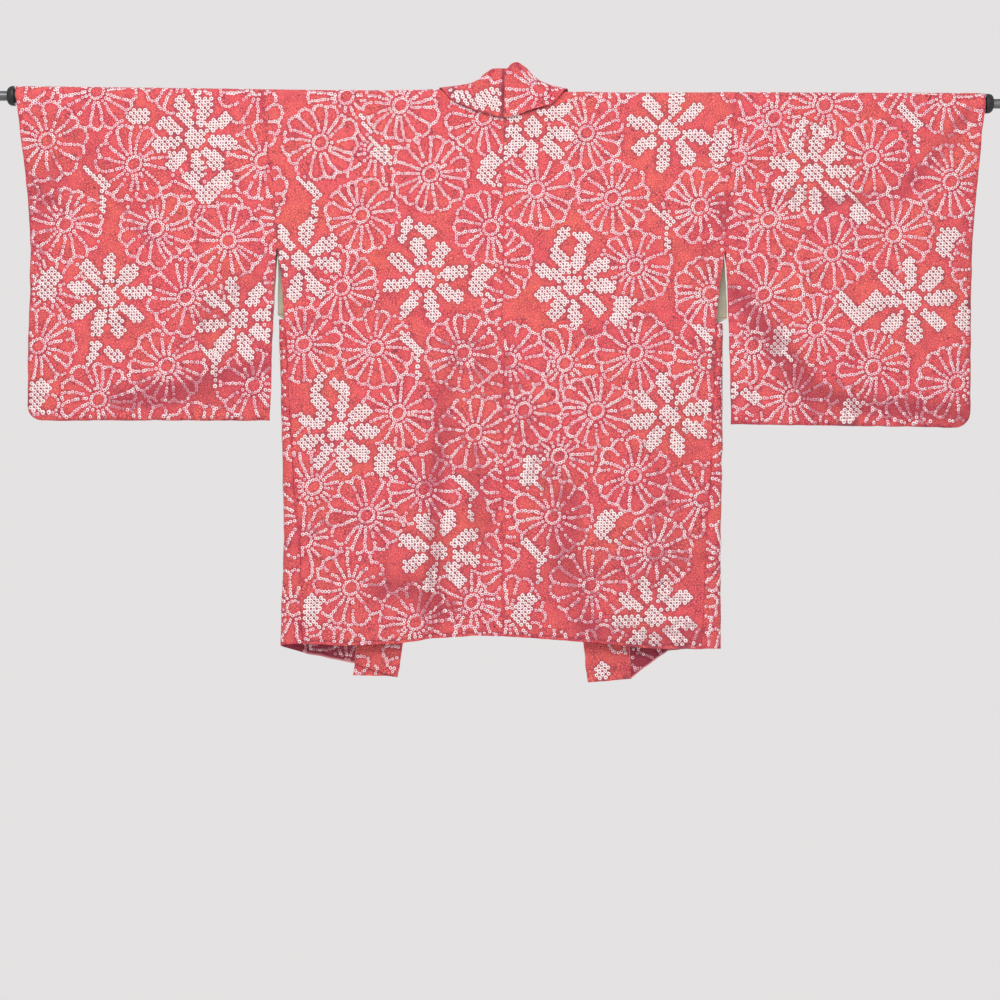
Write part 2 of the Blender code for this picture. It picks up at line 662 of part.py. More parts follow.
def make_lining(side, collection):
    """The lining's edge inside the side opening, on the inner face of the front."""
    way = SIDES[side]
    rows = []
    for step in range(LINING_ROWS + 1):
        z = between(LINING_TOP_Z, LINING_END_Z, step / LINING_ROWS)
        edge = outer_x(side, "front", z) - LINING_INSET
        row = []
        for column in range(LINING_COLUMNS + 1):
            x = way * (edge - LINING_WIDTH * (1.0 - column / LINING_COLUMNS))
            point = hanging("front", x, z)
            point.y -= SEAM_GAP + LINING_CLOTH
            row.append(point)
        rows.append(row)
    if side == "right":
        rows = [list(reversed(row)) for row in rows]
    obj = grid_object("lining_" + side, rows, collection, LINING)
    thicken(obj, LINING_CLOTH, 1.0)
    return obj


# ---------------------------------------------------------------- the rod
def cylinder(name, radius, x_from, x_to, sides, mat, collection):
    middle, length = 0.5 * (x_from + x_to), abs(x_to - x_from)
    bpy.ops.mesh.primitive_cylinder_add(
        vertices=sides, radius=radius, depth=length,
        location=(middle, 0.0, 0.0), rotation=(0.0, math.pi / 2.0, 0.0),
    )
    obj = bpy.context.active_object
    obj.name = name
    obj.data.name = name
    obj.data.materials.append(material(*mat))
    put_in_collection(obj, collection)
    return obj


def make_rod(collection):
    cylinder("rod", ROD_RADIUS, -ROD_END_X["left"], ROD_END_X["right"], 32, BLACK, collection)
    for side, way in SIDES.items():
        knob_start = ROD_END_X[side] + SEAM_GAP
        knob_end = knob_start + KNOB_LENGTH
        knob = cylinder(
            "rod_knob_" + side, KNOB_RADIUS, way * knob_start, way * knob_end, 32, BLACK, collection
        )
        bevel = knob.modifiers.new("rounded", "BEVEL")
        bevel.width = KNOB_BEVEL
        bevel.segments = 2
        bevel.limit_method = "ANGLE"
        bar_start = knob_end + SEAM_GAP
        cylinder("rod_bar_" + side, BAR_RADIUS, way * bar_start, way * BAR_END_X, 24, GREY, collection)


def main():
    for obj in list(bpy.data.objects):
        bpy.data.objects.remove(obj, do_unlink=True)
    collection = bpy.data.collections.new("haori_jacket_on_rod")
    bpy.context.scene.collection.children.link(collection)
    for side in SIDES:
        make_body(side, collection)
        make_collar(side, collection)
        make_sleeve(side, collection)
        make_gusset(side, collection)
        make_lining(side, collection)
    make_rod(collection)


main()
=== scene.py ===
import math
from collections import namedtuple

import bmesh
import bpy
import numpy as np
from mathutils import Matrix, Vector
from mathutils.bvhtree import BVHTree
from mathutils.geometry import barycentric_transform
from mathutils.kdtree import KDTree


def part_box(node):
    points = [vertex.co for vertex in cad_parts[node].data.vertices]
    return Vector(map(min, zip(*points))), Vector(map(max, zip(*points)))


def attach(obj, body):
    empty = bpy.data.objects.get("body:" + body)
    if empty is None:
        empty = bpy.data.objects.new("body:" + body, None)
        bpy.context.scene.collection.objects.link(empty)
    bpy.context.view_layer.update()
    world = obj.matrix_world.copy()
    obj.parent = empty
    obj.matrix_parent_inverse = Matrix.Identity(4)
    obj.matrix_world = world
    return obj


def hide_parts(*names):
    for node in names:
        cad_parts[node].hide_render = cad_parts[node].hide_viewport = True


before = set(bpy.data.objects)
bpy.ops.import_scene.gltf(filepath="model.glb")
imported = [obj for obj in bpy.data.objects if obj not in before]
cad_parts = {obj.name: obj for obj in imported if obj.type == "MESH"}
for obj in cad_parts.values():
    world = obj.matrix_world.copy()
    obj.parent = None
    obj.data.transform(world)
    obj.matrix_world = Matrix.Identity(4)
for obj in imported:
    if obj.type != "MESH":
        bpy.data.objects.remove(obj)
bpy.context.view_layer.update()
SIDES = {"left": -1.0, "right": 1.0}
CM = 0.01
MM = 0.001
print("frame loaded:", len(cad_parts), "nodes")

# %% [markdown]
# ## The camera
#
# The camera stands three metres behind the jacket, a little below its middle, and is
# turned by less than half a degree, as if hand-held. It looks straight along Y, so the
# flat cloth shows square on, and the width to be seen sets the lens.
# %% The camera
CAMERA_DISTANCE = 3.0
CAMERA_HEIGHT = -0.5283
PICTURE_WIDTH = 1.32        # of the world at the jacket, in the square picture
CAMERA_ROLL = math.radians(0.44)

scene = bpy.context.scene
scene.view_settings.view_transform = "Standard"


def put_in_scene(name, data):
    obj = bpy.data.objects.new(name, data)
    scene.collection.objects.link(obj)
    return obj


lens = bpy.data.cameras.new("camera")
lens.angle = 2.0 * math.atan(0.5 * PICTURE_WIDTH / CAMERA_DISTANCE)
camera = put_in_scene("camera", lens)
camera.location = (0.0, -CAMERA_DISTANCE, CAMERA_HEIGHT)
camera.rotation_euler = (math.radians(90.0), -CAMERA_ROLL, 0.0)
scene.camera = camera
print("camera sees", PICTURE_WIDTH, "m at the jacket")

# %% [markdown]
# ## The lamps
#
# Shops light a garment softly. Two large square lamps on each side of the cloth do the
# same here. Large lamps leave no hard shadow, and the high ones are stronger, so that
# folds still read.
# %% The lamps
LIT_POINT = Vector((0.0, 0.0, -0.35))
Lamp = namedtuple("Lamp", "name x y z size watts warmth")
LAMPS = (
    Lamp("back_high", -0.5, -2.6, 1.3, 1.8, 58.0, 0.97),
    Lamp("back_low", 0.7, -2.8, -0.9, 1.8, 14.0, 0.99),
    Lamp("front_high", 0.6, 2.6, 1.2, 1.8, 54.0, 0.97),
    Lamp("front_low", -0.7, 2.8, -0.8, 1.8, 14.0, 0.99),
)
for lamp in LAMPS:
    light = bpy.data.lights.new(lamp.name, "AREA")
    light.size = lamp.size
    light.energy = lamp.watts
    light.color = (1.0, 0.5 + 0.5 * lamp.warmth, lamp.warmth)
    holder = put_in_scene(lamp.name, light)
    holder.location = (lamp.x, lamp.y, lamp.z)
    holder.rotation_euler = (LIT_POINT - holder.location).to_track_quat("-Z", "Y").to_euler()
print(len(LAMPS), "lamps")

# %% [markdown]
# ## The room's own light
#
# Pale walls send light back onto the cloth, and the world's colour does that here. The
# camera sees it at full strength, while the cloth gets a weaker share, so that the lamps
# still shape the folds. A Light Path node tells the two apart.
# %% The room's own light
WALL_TINT = (0.78, 0.758, 0.762, 1.0)
FILL_LIGHT = 0.65           # of the room's light that reaches the cloth from all round
world = bpy.data.worlds.new("pale_room")
world.use_nodes = True
nodes, links = world.node_tree.nodes, world.node_tree.links
seen = nodes["Background"]
seen.inputs["Color"].default_value = WALL_TINT
filling = nodes.new("ShaderNodeBackground")
filling.inputs["Color"].default_value = WALL_TINT
filling.inputs["Strength"].default_value = FILL_LIGHT
path = nodes.new("ShaderNodeLightPath")
choice = nodes.new("ShaderNodeMixShader")
links.new(path.outputs["Is Camera Ray"], choice.inputs["Fac"])
links.new(filling.outputs["Background"], choice.inputs[1])
links.new(seen.outputs["Background"], choice.inputs[2])
links.new(choice.outputs["Shader"], nodes["World Output"].inputs["Surface"])
scene.world = world
print("the cloth gets", FILL_LIGHT, "of the room's light")

# %% [markdown]
# ## The floor
#
# The floor is a pale disc well below the hem, so that it catches a soft shadow in the
# slanting views and leaves the level view clear. It's only staging, not part of the jacket.
# %% The floor
FLOOR_Z = -1.45
FLOOR_RADIUS = 1.1

bpy.ops.mesh.primitive_circle_add(
    vertices=96, radius=FLOOR_RADIUS, fill_type="NGON", location=(0.0, 0.0, FLOOR_Z)
)
floor = bpy.context.active_object
floor.name = "floor"
pale = bpy.data.materials.new("pale_floor")
pale.use_nodes = True
matt = pale.node_tree.nodes["Principled BSDF"]
matt.inputs["Base Color"].default_value = WALL_TINT
matt.inputs["Roughness"].default_value = 0.9
floor.data.materials.append(pale)
print("floor", FLOOR_RADIUS, "m round, at", FLOOR_Z)

# %% [markdown]
# ## Sizes of the cut
#
# A kimono jacket is all straight strips: two body lengths from the back hem over the
# shoulder to the front hem, two square sleeves, a collar and two tapered side gussets.
# These are the plain walls' own sizes, in metres, so that the fine cloth lies exactly on
# them. Heights count from the rod's axis, so most are negative.
# %% Sizes of the cut
CLOTH = 0.0016              # silk and lining together
COLLAR_CLOTH = 0.0014       # one layer of the folded collar
SEAM_GAP = 0.0003
DRAPE_RADIUS = 0.0092       # inside of the cloth over the rod
HALF_ARC = 0.5 * math.pi * DRAPE_RADIUS
CENTRE_SEAM_TOP_X = 0.001
CENTRE_SEAM_HEM_X = 0.0048
BODY_LENGTH = 0.72
ARMHOLE_END_Z = -0.197
GUSSET_TOP_Z = -0.293
SIDE_EDGE_END_Z = -0.285
SLEEVE_BOTTOM_Z = -0.4266
SLEEVE_BOTTOM_INNER_Z = -0.4244
SLEEVE_CORNER = 0.018
CUFF_OPEN_Z = -0.02
WRIST_END_Z = -0.21
SLEEVE_LOW_DEPTH = 0.0072   # half the sleeve bag's depth, low down
SLEEVE_TAPER_X = (0.3, 0.38)
SLEEVE_ROUND_Z = -0.3626    # where the bag starts to close towards its bottom
SLEEVE_BOTTOM_SHARE = 0.62  # of its depth that is left just above the bottom
SEWN_EDGE = 0.15            # share of the sleeve's width that rounds off to the wrist seam
FOLD_FADE_Z = 0.12          # folds grow from nothing at the rod to full depth here
HEM_ROWS = 10
NECK_BACK_X = 0.066
NECK_TOP_X = 0.079
NECK_FRONT_X = 0.083
FRONT_SEAM_HEM_X = {"left": 0.1908, "right": 0.1756}
COLLAR_FOLD_RADIUS = 0.0022
COLLAR_BULGE = 0.0016
COLLAR_SEAM_GAP = 0.0004
SEWN_FLAP_RADIUS = 0.0121   # the least distance of the collar's flaps from the rod's axis
TURNED_FLAP_RADIUS = 0.0152
FRONT_ALONG_Z = -0.08       # below it the collar runs straight down the front
print("body", BODY_LENGTH, "m long, sleeves", -SLEEVE_BOTTOM_Z, "m deep")

# %% [markdown]
# ## Where the long edges hang
#
# Each row gives a height and, for both sides, how far from the middle plane an edge hangs.
# Cloth never hangs quite evenly, so the sides differ. Down to the end of the armhole, back
# and front share one seam.
# %% Where the long edges hang
Outline = namedtuple("Outline", "z left right")


def rows_of(kind, rows):
    return tuple(kind(*row) for row in rows)


ARMHOLE = rows_of(Outline, (
    (0.0, 0.3165, 0.3065),
    (-0.06, 0.309, 0.301),
    (-0.123, 0.3015, 0.2965),
    (ARMHOLE_END_Z, 0.2958, 0.2938),
))
ARMHOLE_AND_SIDE = {
    "back": ARMHOLE + rows_of(Outline, (
        (-0.24, 0.289, 0.2875),
        (SIDE_EDGE_END_Z, 0.2866, 0.283),
        (GUSSET_TOP_Z, 0.285, 0.2826),
        (-0.5, 0.2722, 0.2765),
        (-0.582, 0.2624, 0.271),
        (-0.72, 0.2586, 0.2672),
    )),
    "front": ARMHOLE + rows_of(Outline, (
        (-0.24, 0.296, 0.2968),
        (SIDE_EDGE_END_Z, 0.2962, 0.299),
        (GUSSET_TOP_Z, 0.285, 0.2826),
        (-0.5, 0.2722, 0.2765),
        (-0.72, 0.2586, 0.2672),
    )),
}
SLEEVE_INNER = {
    "back": rows_of(Outline, (
        (ARMHOLE_END_Z, 0.2961, 0.2941),
        (-0.208, 0.2982, 0.2954),
        (-0.32, 0.3012, 0.3),
        (-0.43, 0.3044, 0.3041),
    )),
    "front": rows_of(Outline, (
        (ARMHOLE_END_Z, 0.2961, 0.2941),
        (-0.24, 0.2995, 0.3005),
        (-0.32, 0.303, 0.304),
        (-0.43, 0.306, 0.3055),
    )),
}
SLEEVE_OUTER = rows_of(Outline, (
    (0.013, 0.6431, 0.6358),
    (-0.066, 0.633, 0.6285),
    (-0.112, 0.6274, 0.6246),
    (-0.145, 0.624, 0.6222),
    (-0.208, 0.6203, 0.6186),
    (-0.368, 0.623, 0.6182),
    (-0.43, 0.6227, 0.6182),
))
SIDE_FOLD = rows_of(Outline, (
    (GUSSET_TOP_Z, 0.2934, 0.2917),
    (-0.44, 0.2885, 0.2931),
    (-0.58, 0.285, 0.2916),
    (-0.72, 0.2884, 0.2927),
))
print(len(SLEEVE_OUTER), "points on each sleeve's outer edge")

# %% [markdown]
# ## Hems, shoulder line and neckline
#
# The hems sag between the seams, and the fronts swing lower towards the collar. Over the
# rod the shoulder line rises and dips a little. The neckline's rows lead from the centre
# back to the shoulder, with the height at which each reaches the armhole.
# %% Hems, shoulder line and neckline
Hem = namedtuple("Hem", "x left right")
HEMS = {
    "back": rows_of(Hem, (
        (0.0, -0.7075, -0.7075),
        (0.0385, -0.7069, -0.7095),
        (0.085, -0.711, -0.7128),
        (0.128, -0.7175, -0.7152),
        (0.165, -0.72, -0.7191),
        (0.2087, -0.7212, -0.7221),
        (0.295, -0.718, -0.7214),
    )),
    "front": rows_of(Hem, (
        (0.1755, -0.7486, -0.7636),
        (0.1913, -0.7458, -0.7502),
        (0.2247, -0.7398, -0.7254),
        (0.2533, -0.7344, -0.7238),
        (0.295, -0.719, -0.7222),
    )),
}

Lift = namedtuple("Lift", "x height")
SHOULDER_LIFT = rows_of(Lift, (
    (-0.6431, 0.0024),
    (-0.34, 0.001),
    (-0.23, 0.0002),
    (-0.15, 0.0004),
    (-0.09, 0.0022),
    (0.096, 0.0006),
    (0.174, 0.0002),
    (0.308, 0.0018),
    (0.6358, 0.003),
))

Neck = namedtuple("Neck", "x z side_z")
NECKLINE = rows_of(Neck, (
    (0.0, -0.019, -0.078),
    (0.005, -0.019, -0.0715),
    (0.015, -0.0183, -0.063),
    (0.027, -0.0165, -0.052),
    (0.0395, -0.0137, -0.039),
    (0.0505, -0.0098, -0.026),
    (0.0595, -0.0052, -0.013),
))
print(len(SHOULDER_LIFT), "points on the shoulder line,", len(NECKLINE), "on the neckline")

# %% [markdown]
# ## The collar's course
#
# The collar is one band, folded double. Each row gives a place along the neckline, 0 at
# the centre back, 1, 2 and 3 behind, on and before the shoulder's top, 5 at the front
# hem, and where the band's fold and free edge lie there, x from the centre seam. The right
# half stands up higher at the back.
# %% The collar's course
Collar = namedtuple("Collar", "along fold_x fold_y fold_z free_x free_y free_z")
COLLARS = {
    "left": rows_of(Collar, (
        (0.0, 0.0, -0.0137, 0.0359, 0.0, -0.0148, -0.0253),
        (0.14, 0.0045, -0.0137, 0.0359, 0.0045, -0.0148, -0.025),
        (0.35, 0.0095, -0.0132, 0.0357, 0.015, -0.0148, -0.0225),
        (0.6, 0.016, -0.0115, 0.0345, 0.034, -0.0146, -0.0168),
        (0.8, 0.024, -0.008, 0.0298, 0.052, -0.0143, -0.0095),
        (1.0, 0.0305, -0.0035, 0.024, 0.066, -0.0138, -0.0035),
        (1.5, 0.0345, 0.0035, 0.02, 0.0775, -0.0105, 0.0095),
        (2.0, 0.0345, 0.0095, 0.0152, 0.083, 0.001, 0.0148),
        (2.5, 0.033, 0.0132, 0.0078, 0.085, 0.0103, 0.0103),
        (3.0, 0.031, 0.0138, -0.001, 0.086, 0.014, 0.0),
        (4.0, 0.04, 0.0118, -0.08, 0.094, 0.0133, -0.08),
        (5.0, 0.1355, 0.0118, -0.7638, 0.1922, 0.0133, -0.762),
    )),
    "right": rows_of(Collar, (
        (0.0, 0.0, -0.0139, 0.0359, 0.0, -0.015, -0.0253),
        (0.14, 0.0045, -0.0139, 0.0361, 0.0045, -0.015, -0.025),
        (0.35, 0.01, -0.0137, 0.0425, 0.015, -0.015, -0.0228),
        (0.6, 0.0175, -0.0122, 0.0447, 0.034, -0.0148, -0.0155),
        (0.8, 0.0262, -0.0083, 0.0402, 0.051, -0.0144, -0.011),
        (1.0, 0.034, -0.0035, 0.0326, 0.064, -0.0138, -0.007),
        (1.5, 0.039, 0.0035, 0.025, 0.077, -0.0108, 0.009),
        (2.0, 0.037, 0.0095, 0.0175, 0.0835, 0.001, 0.0148),
        (2.5, 0.034, 0.0132, 0.0088, 0.085, 0.0103, 0.0103),
        (3.0, 0.0315, 0.0138, -0.001, 0.086, 0.014, 0.0),
        (4.0, 0.039, 0.0118, -0.08, 0.094, 0.0133, -0.08),
        (5.0, 0.1196, 0.0118, -0.7685, 0.1752, 0.0133, -0.764),
    )),
}
print({side: len(rows) for side, rows in COLLARS.items()}, "rows of the collar's course")

# %% [markdown]
# ## Large folds
#
# Silk on a rod falls in long shallow hollows and swells. Each fold is one soft hill: a
# bell curve across, a longer one along, and a lean in degrees. A positive depth swells
# out. The plain walls have the same folds.
# %% Large folds
Fold = namedtuple("Fold", "x z across along lean depth")
LARGE_FOLDS = {
    "back": rows_of(Fold, (
        (-0.085, -0.655, 0.011, 0.105, 0, -0.0055),
        (-0.062, -0.63, 0.019, 0.12, 0, 0.005),
        (-0.08, -0.47, 0.02, 0.075, 6, -0.0035),
        (-0.025, -0.52, 0.03, 0.1, -12, -0.0035),
        (0.035, -0.53, 0.03, 0.15, 5, 0.0045),
        (0.085, -0.57, 0.026, 0.09, 10, -0.0035),
        (0.115, -0.675, 0.022, 0.06, -8, -0.004),
        (0.15, -0.56, 0.032, 0.13, 4, 0.0035),
        (0.215, -0.55, 0.03, 0.1, -6, -0.0025),
        (-0.19, -0.56, 0.04, 0.17, 6, 0.004),
        (-0.14, -0.33, 0.055, 0.14, -20, 0.003),
        (0.135, -0.3, 0.055, 0.14, 16, 0.003),
        (0.272, -0.215, 0.022, 0.04, -20, -0.0025),
        (0.385, -0.355, 0.023, 0.08, -34, -0.0048),
        (0.435, -0.32, 0.033, 0.085, -36, 0.004),
        (0.52, -0.405, 0.013, 0.1, 90, -0.0026),
        (0.55, -0.09, 0.015, 0.05, 40, -0.0022),
        (0.57, -0.2, 0.045, 0.1, 10, 0.0028),
        (-0.41, -0.398, 0.017, 0.085, 90, -0.0028),
        (-0.38, -0.285, 0.028, 0.08, 46, -0.0026),
        (-0.44, -0.24, 0.045, 0.1, 40, 0.003),
        (-0.6, -0.13, 0.025, 0.08, 8, -0.0024),
    )),
    "front": rows_of(Fold, (
        (-0.23, -0.56, 0.03, 0.17, 3, 0.004),
        (0.22, -0.52, 0.03, 0.17, -4, 0.0045),
        (0.15, -0.38, 0.03, 0.13, -9, -0.003),
        (-0.155, -0.39, 0.03, 0.13, 10, -0.003),
        (0.42, -0.29, 0.05, 0.1, -25, 0.0035),
        (-0.42, -0.28, 0.05, 0.1, 25, 0.0035),
    )),
}


def ease(share):
    share = np.clip(share, 0.0, 1.0)
    return share * share * (3.0 - 2.0 * share)


def fold_depth(layer, x, z):
    """How far the large folds move the cloth out from its flat place."""
    total = np.zeros_like(x)
    for fold in LARGE_FOLDS[layer]:
        lean = math.radians(fold.lean)
        across = (x - fold.x) * math.cos(lean) - (z - fold.z) * math.sin(lean)
        along = (x - fold.x) * math.sin(lean) + (z - fold.z) * math.cos(lean)
        total += fold.depth * np.exp(-((across / fold.across) ** 2) - (along / fold.along) ** 2)
    return total * ease(-z / FOLD_FADE_Z)


print({layer: len(folds) for layer, folds in LARGE_FOLDS.items()}, "large folds")

# %% [markdown]
# ## Creases
#
# Creases are sharper, and only the fine cloth can show them: where the sleeve pulls on the
# armhole, along the sleeve's bottom, across the low back. Each is a soft trough with low
# lips, along a line of points: x, and the drop below the rod, in centimetres like the half
# width. The depth is in millimetres, and the shade, 0 to 1, darkens the trough.
# %% Creases
LIP_HEIGHT = 0.45           # of a crease's lips, as a share of its depth
LIP_PLACE = 1.9             # in half widths from the middle of the trough
LIP_SHARPNESS = 1.6
FAR_AWAY = 9.0              # metres, further apart than any two points
Crease = namedtuple("Crease", "half_width depth shade line")
CREASES = {
    "back": rows_of(Crease, (
        (1.3, 1.2, 1, ((31, 25.5), (36.3, 32.4), (41.2, 38), (46.9, 39.9), (60.7, 41.2))),
        (0.9, 1, 0.55, ((60.7, 2), (57, 7), (53, 11.9), (43.6, 13.4), (37, 13))),
        (1.5, 1, 0.85, ((-50.2, 39.8), (-43.6, 39.2), (-37.6, 36.8), (-31, 35.5))),
        (0.8, 0.8, 0.45, ((-62.6, 8), (-61.6, 13), (-57, 15))),
        (1, 0.8, 0.3, ((-60, 3), (-54, 7.5), (-46, 19))),
        (1.6, 1.2, 0.45, ((-5.4, 32.5), (-8, 40), (-8.3, 48), (-8.1, 66))),
        (2.8, 0.8, 0.35, ((-2.6, 33.5), (2.6, 42.3), (7.9, 52.8))),
        (1.8, 1, 0.9, ((-15.5, 64.7), (-11.9, 64.4), (-7, 67.5))),
        (1.4, 0.8, 0.75, ((11.5, 69.3), (18.5, 71), (26, 70.4))),
        (3.2, 0, 0.35, ((8.5, 60.5), (18.5, 62), (26, 60.7))),
        (1.3, 1, 0.85, ((29.2, 13.8), (29.2, 16.2))),
        (0.7, 0.8, 0.35, ((-28.5, 60), (-22, 56), (-15, 57))),
        (0.7, 0.8, 0.3, ((28, 33.5), (19, 29), (11, 31))),
        (0.6, 0.7, 0.28, ((-28, 31), (-20, 27.5), (-12, 28.5))),
        (0.9, 0.6, 0.3, ((24, 44), (26.5, 52), (27, 60))),
    )),
    "front": rows_of(Crease, (
        (1.2, 1.1, 0.7, ((-31.5, 26), (-37, 33), (-43, 38), (-58, 40.5))),
        (1.2, 1.1, 0.6, ((32, 27), (39, 35.5), (50, 39.8), (60, 40.6))),
        (0.9, 1, 0.45, ((-60, 3), (-53, 10.5), (-42, 13))),
        (0.9, 0.9, 0.4, ((60, 4), (54, 12.5), (44, 16.5))),
        (1.5, 1.2, 0.45, ((-14, 30), (-17, 45), (-18, 66))),
        (1.5, 1.2, 0.45, ((13.5, 33), (16.5, 48), (17, 64))),
        (0.8, 0.8, 0.35, ((-28, 24), (-20, 29), (-14, 36))),
        (0.8, 0.8, 0.35, ((28, 23), (20, 29.5), (15, 38))),
        (1.6, 0.8, 0.7, ((-26, 68.5), (-20, 70.5), (-17.5, 71))),
        (1.6, 0.8, 0.7, ((26, 68), (20, 69.5), (17, 70))),
    )),
}


def crease_profiles(layer, x, z):
    """Depth in metres and darkening of the creases at points of one layer."""
    depth, shade = np.zeros_like(x), np.zeros_like(x)
    for crease in CREASES[layer]:
        away = np.full_like(x, FAR_AWAY)
        for (x0, drop0), (x1, drop1) in zip(crease.line[:-1], crease.line[1:]):
            run_x, run_z = (x1 - x0) * CM, (drop0 - drop1) * CM
            t = ((x - x0 * CM) * run_x + (z + drop0 * CM) * run_z) / (run_x ** 2 + run_z ** 2)
            t = np.clip(t, 0.0, 1.0)
            away = np.minimum(away, np.hypot(x - x0 * CM - t * run_x, z + drop0 * CM - t * run_z))
        away /= crease.half_width * CM
        trough = np.exp(-(away ** 2))
        lips = LIP_HEIGHT * np.exp(-((away - LIP_PLACE) ** 2) * LIP_SHARPNESS)
        depth += MM * crease.depth * (lips - trough)
        shade = np.maximum(shade, crease.shade * trough)
    return depth, shade


print({layer: len(creases) for layer, creases in CREASES.items()}, "creases")

# %% [markdown]
# ## Reading the tables
#
# Straight edges are read with numpy's interp. The collar rolls smoothly over the
# shoulder, so its table is read along a curve through its rows.
# %% Reading the tables
def read(table, key, column):
    """A column of the table at key, straight between rows and flat beyond the ends."""
    rows = sorted(table, key=lambda row: row[0])
    keys = [row[0] for row in rows]
    return np.interp(key, keys, [getattr(row, column) for row in rows])


def curve(share, start, end, start_slope, end_slope):
    """A smooth run from start to end that sets out and arrives at the given slopes."""
    square, cube = share * share, share ** 3
    return (
        (2 * cube - 3 * square + 1) * start
        + (cube - 2 * square + share) * start_slope
        + (3 * square - 2 * cube) * end
        + (cube - square) * end_slope
    )


def read_smooth(table, key, column):
    """As read, for one key, along a curve that passes through every row."""
    if key <= table[0][0]:
        return getattr(table[0], column)
    index = next((i for i in range(len(table) - 1) if key <= table[i + 1][0]), len(table) - 2)
    low, high = table[index], table[index + 1]
    span = high[0] - low[0]
    share = min((key - low[0]) / span, 1.0)
    start, end = getattr(low, column), getattr(high, column)
    if index == 0 or index == len(table) - 2:
        return start + (end - start) * share
    before, after = table[index - 1], table[index + 2]
    start_slope = (end - getattr(before, column)) / (high[0] - before[0]) * span
    end_slope = (getattr(after, column) - start) / (after[0] - low[0]) * span
    return curve(share, start, end, start_slope, end_slope)


def inner_x(side, layer, z):
    down = np.clip(-z / BODY_LENGTH, 0.0, 1.0)
    if layer == "back":
        seam = CENTRE_SEAM_TOP_X + (CENTRE_SEAM_HEM_X - CENTRE_SEAM_TOP_X) * down
        return SIDES[side] * seam + 0.5 * SEAM_GAP
    return NECK_FRONT_X + (FRONT_SEAM_HEM_X[side] - NECK_FRONT_X) * down


def outer_x(side, layer, z):
    return read(ARMHOLE_AND_SIDE[layer], z, side)


print("half the back at the hem:", {side: float(outer_x(side, "back", -BODY_LENGTH)) for side in SIDES})


# %% [markdown]
# ## From flat to hanging
#
# Every strip has flat coordinates: x across, and s along the cloth, which is 0 on top
# of the rod, negative down the back and positive down the front. Patterns are laid out
# flat, as a dyer draws on the bolt before it is sewn, and hang() bends them over the rod.
# %% From flat to hanging
def s_at(layer, z):
    return z - HALF_ARC if layer == "back" else HALF_ARC - z


def z_at(s):
    return HALF_ARC - np.abs(s)


def hang(x, s, depth=DRAPE_RADIUS, fold_share=1.0):
    """Points of the cloth's inside; depth is how far it hangs from the rod's axis."""
    z_side = z_at(s)
    folds = np.where(s < 0.0, fold_depth("back", x, z_side), fold_depth("front", x, z_side))
    angle = 0.5 * math.pi * (1.0 - np.clip(s / HALF_ARC, -1.0, 1.0))
    on_rod = np.abs(s) <= HALF_ARC
    lift = read(SHOULDER_LIFT, x, "height")
    y = np.where(on_rod, DRAPE_RADIUS * np.cos(angle), np.sign(s) * (depth + fold_share * folds))
    z = np.where(on_rod, (DRAPE_RADIUS + lift) * np.sin(angle), z_side)
    return np.stack([x, y, z], axis=-1)


print("cloth lies on the rod from s =", round(-HALF_ARC, 4), "to", round(HALF_ARC, 4))


# %% [markdown]
# ## The body's main rows
#
# A body length is a grid. Its main rows are written as their two ends: where a row
# starts, at the centre seam, the neckline or the collar's seam, and where it ends, at the
# armhole or side. Rows fan out below the neck. Each also carries its place on the
# collar's course, and how far down between side slit and hem it lies.
# %% The body's main rows
BACK_LEVELS = (GUSSET_TOP_Z, SIDE_EDGE_END_Z, -0.24, ARMHOLE_END_Z, -0.156, -0.115)
FRONT_LEVELS = (-0.03, -0.075, -0.12, -0.16, ARMHOLE_END_Z, -0.24, SIDE_EDGE_END_Z, GUSSET_TOP_Z)
MIDDLE_OF_HALF_X = 0.2
NO_COLLAR = -1.0            # the along value of rows below the neck, behind
DOWN_FRONT = 3.5            # and of rows down the front
Ends = namedtuple("Ends", "x0 s0 x1 s1 down along")


def level_ends(side, layer, z, along=NO_COLLAR):
    s = s_at(layer, z)
    return Ends(inner_x(side, layer, z), s, outer_x(side, layer, z), s, 0.0, along)


def hem_ends(side, layer, down):
    """A row between the gusset's top and the hem, which is at down = 1."""
    hem = HEMS[layer]
    level = GUSSET_TOP_Z + (read(hem, MIDDLE_OF_HALF_X, side) - GUSSET_TOP_Z) * down
    x0, x1 = inner_x(side, layer, level), outer_x(side, layer, level)
    z0, z1 = (GUSSET_TOP_Z + (read(hem, x, side) - GUSSET_TOP_Z) * down for x in (x0, x1))
    along = NO_COLLAR if layer == "back" else DOWN_FRONT
    return Ends(x0, s_at(layer, z0), x1, s_at(layer, z1), down, along)


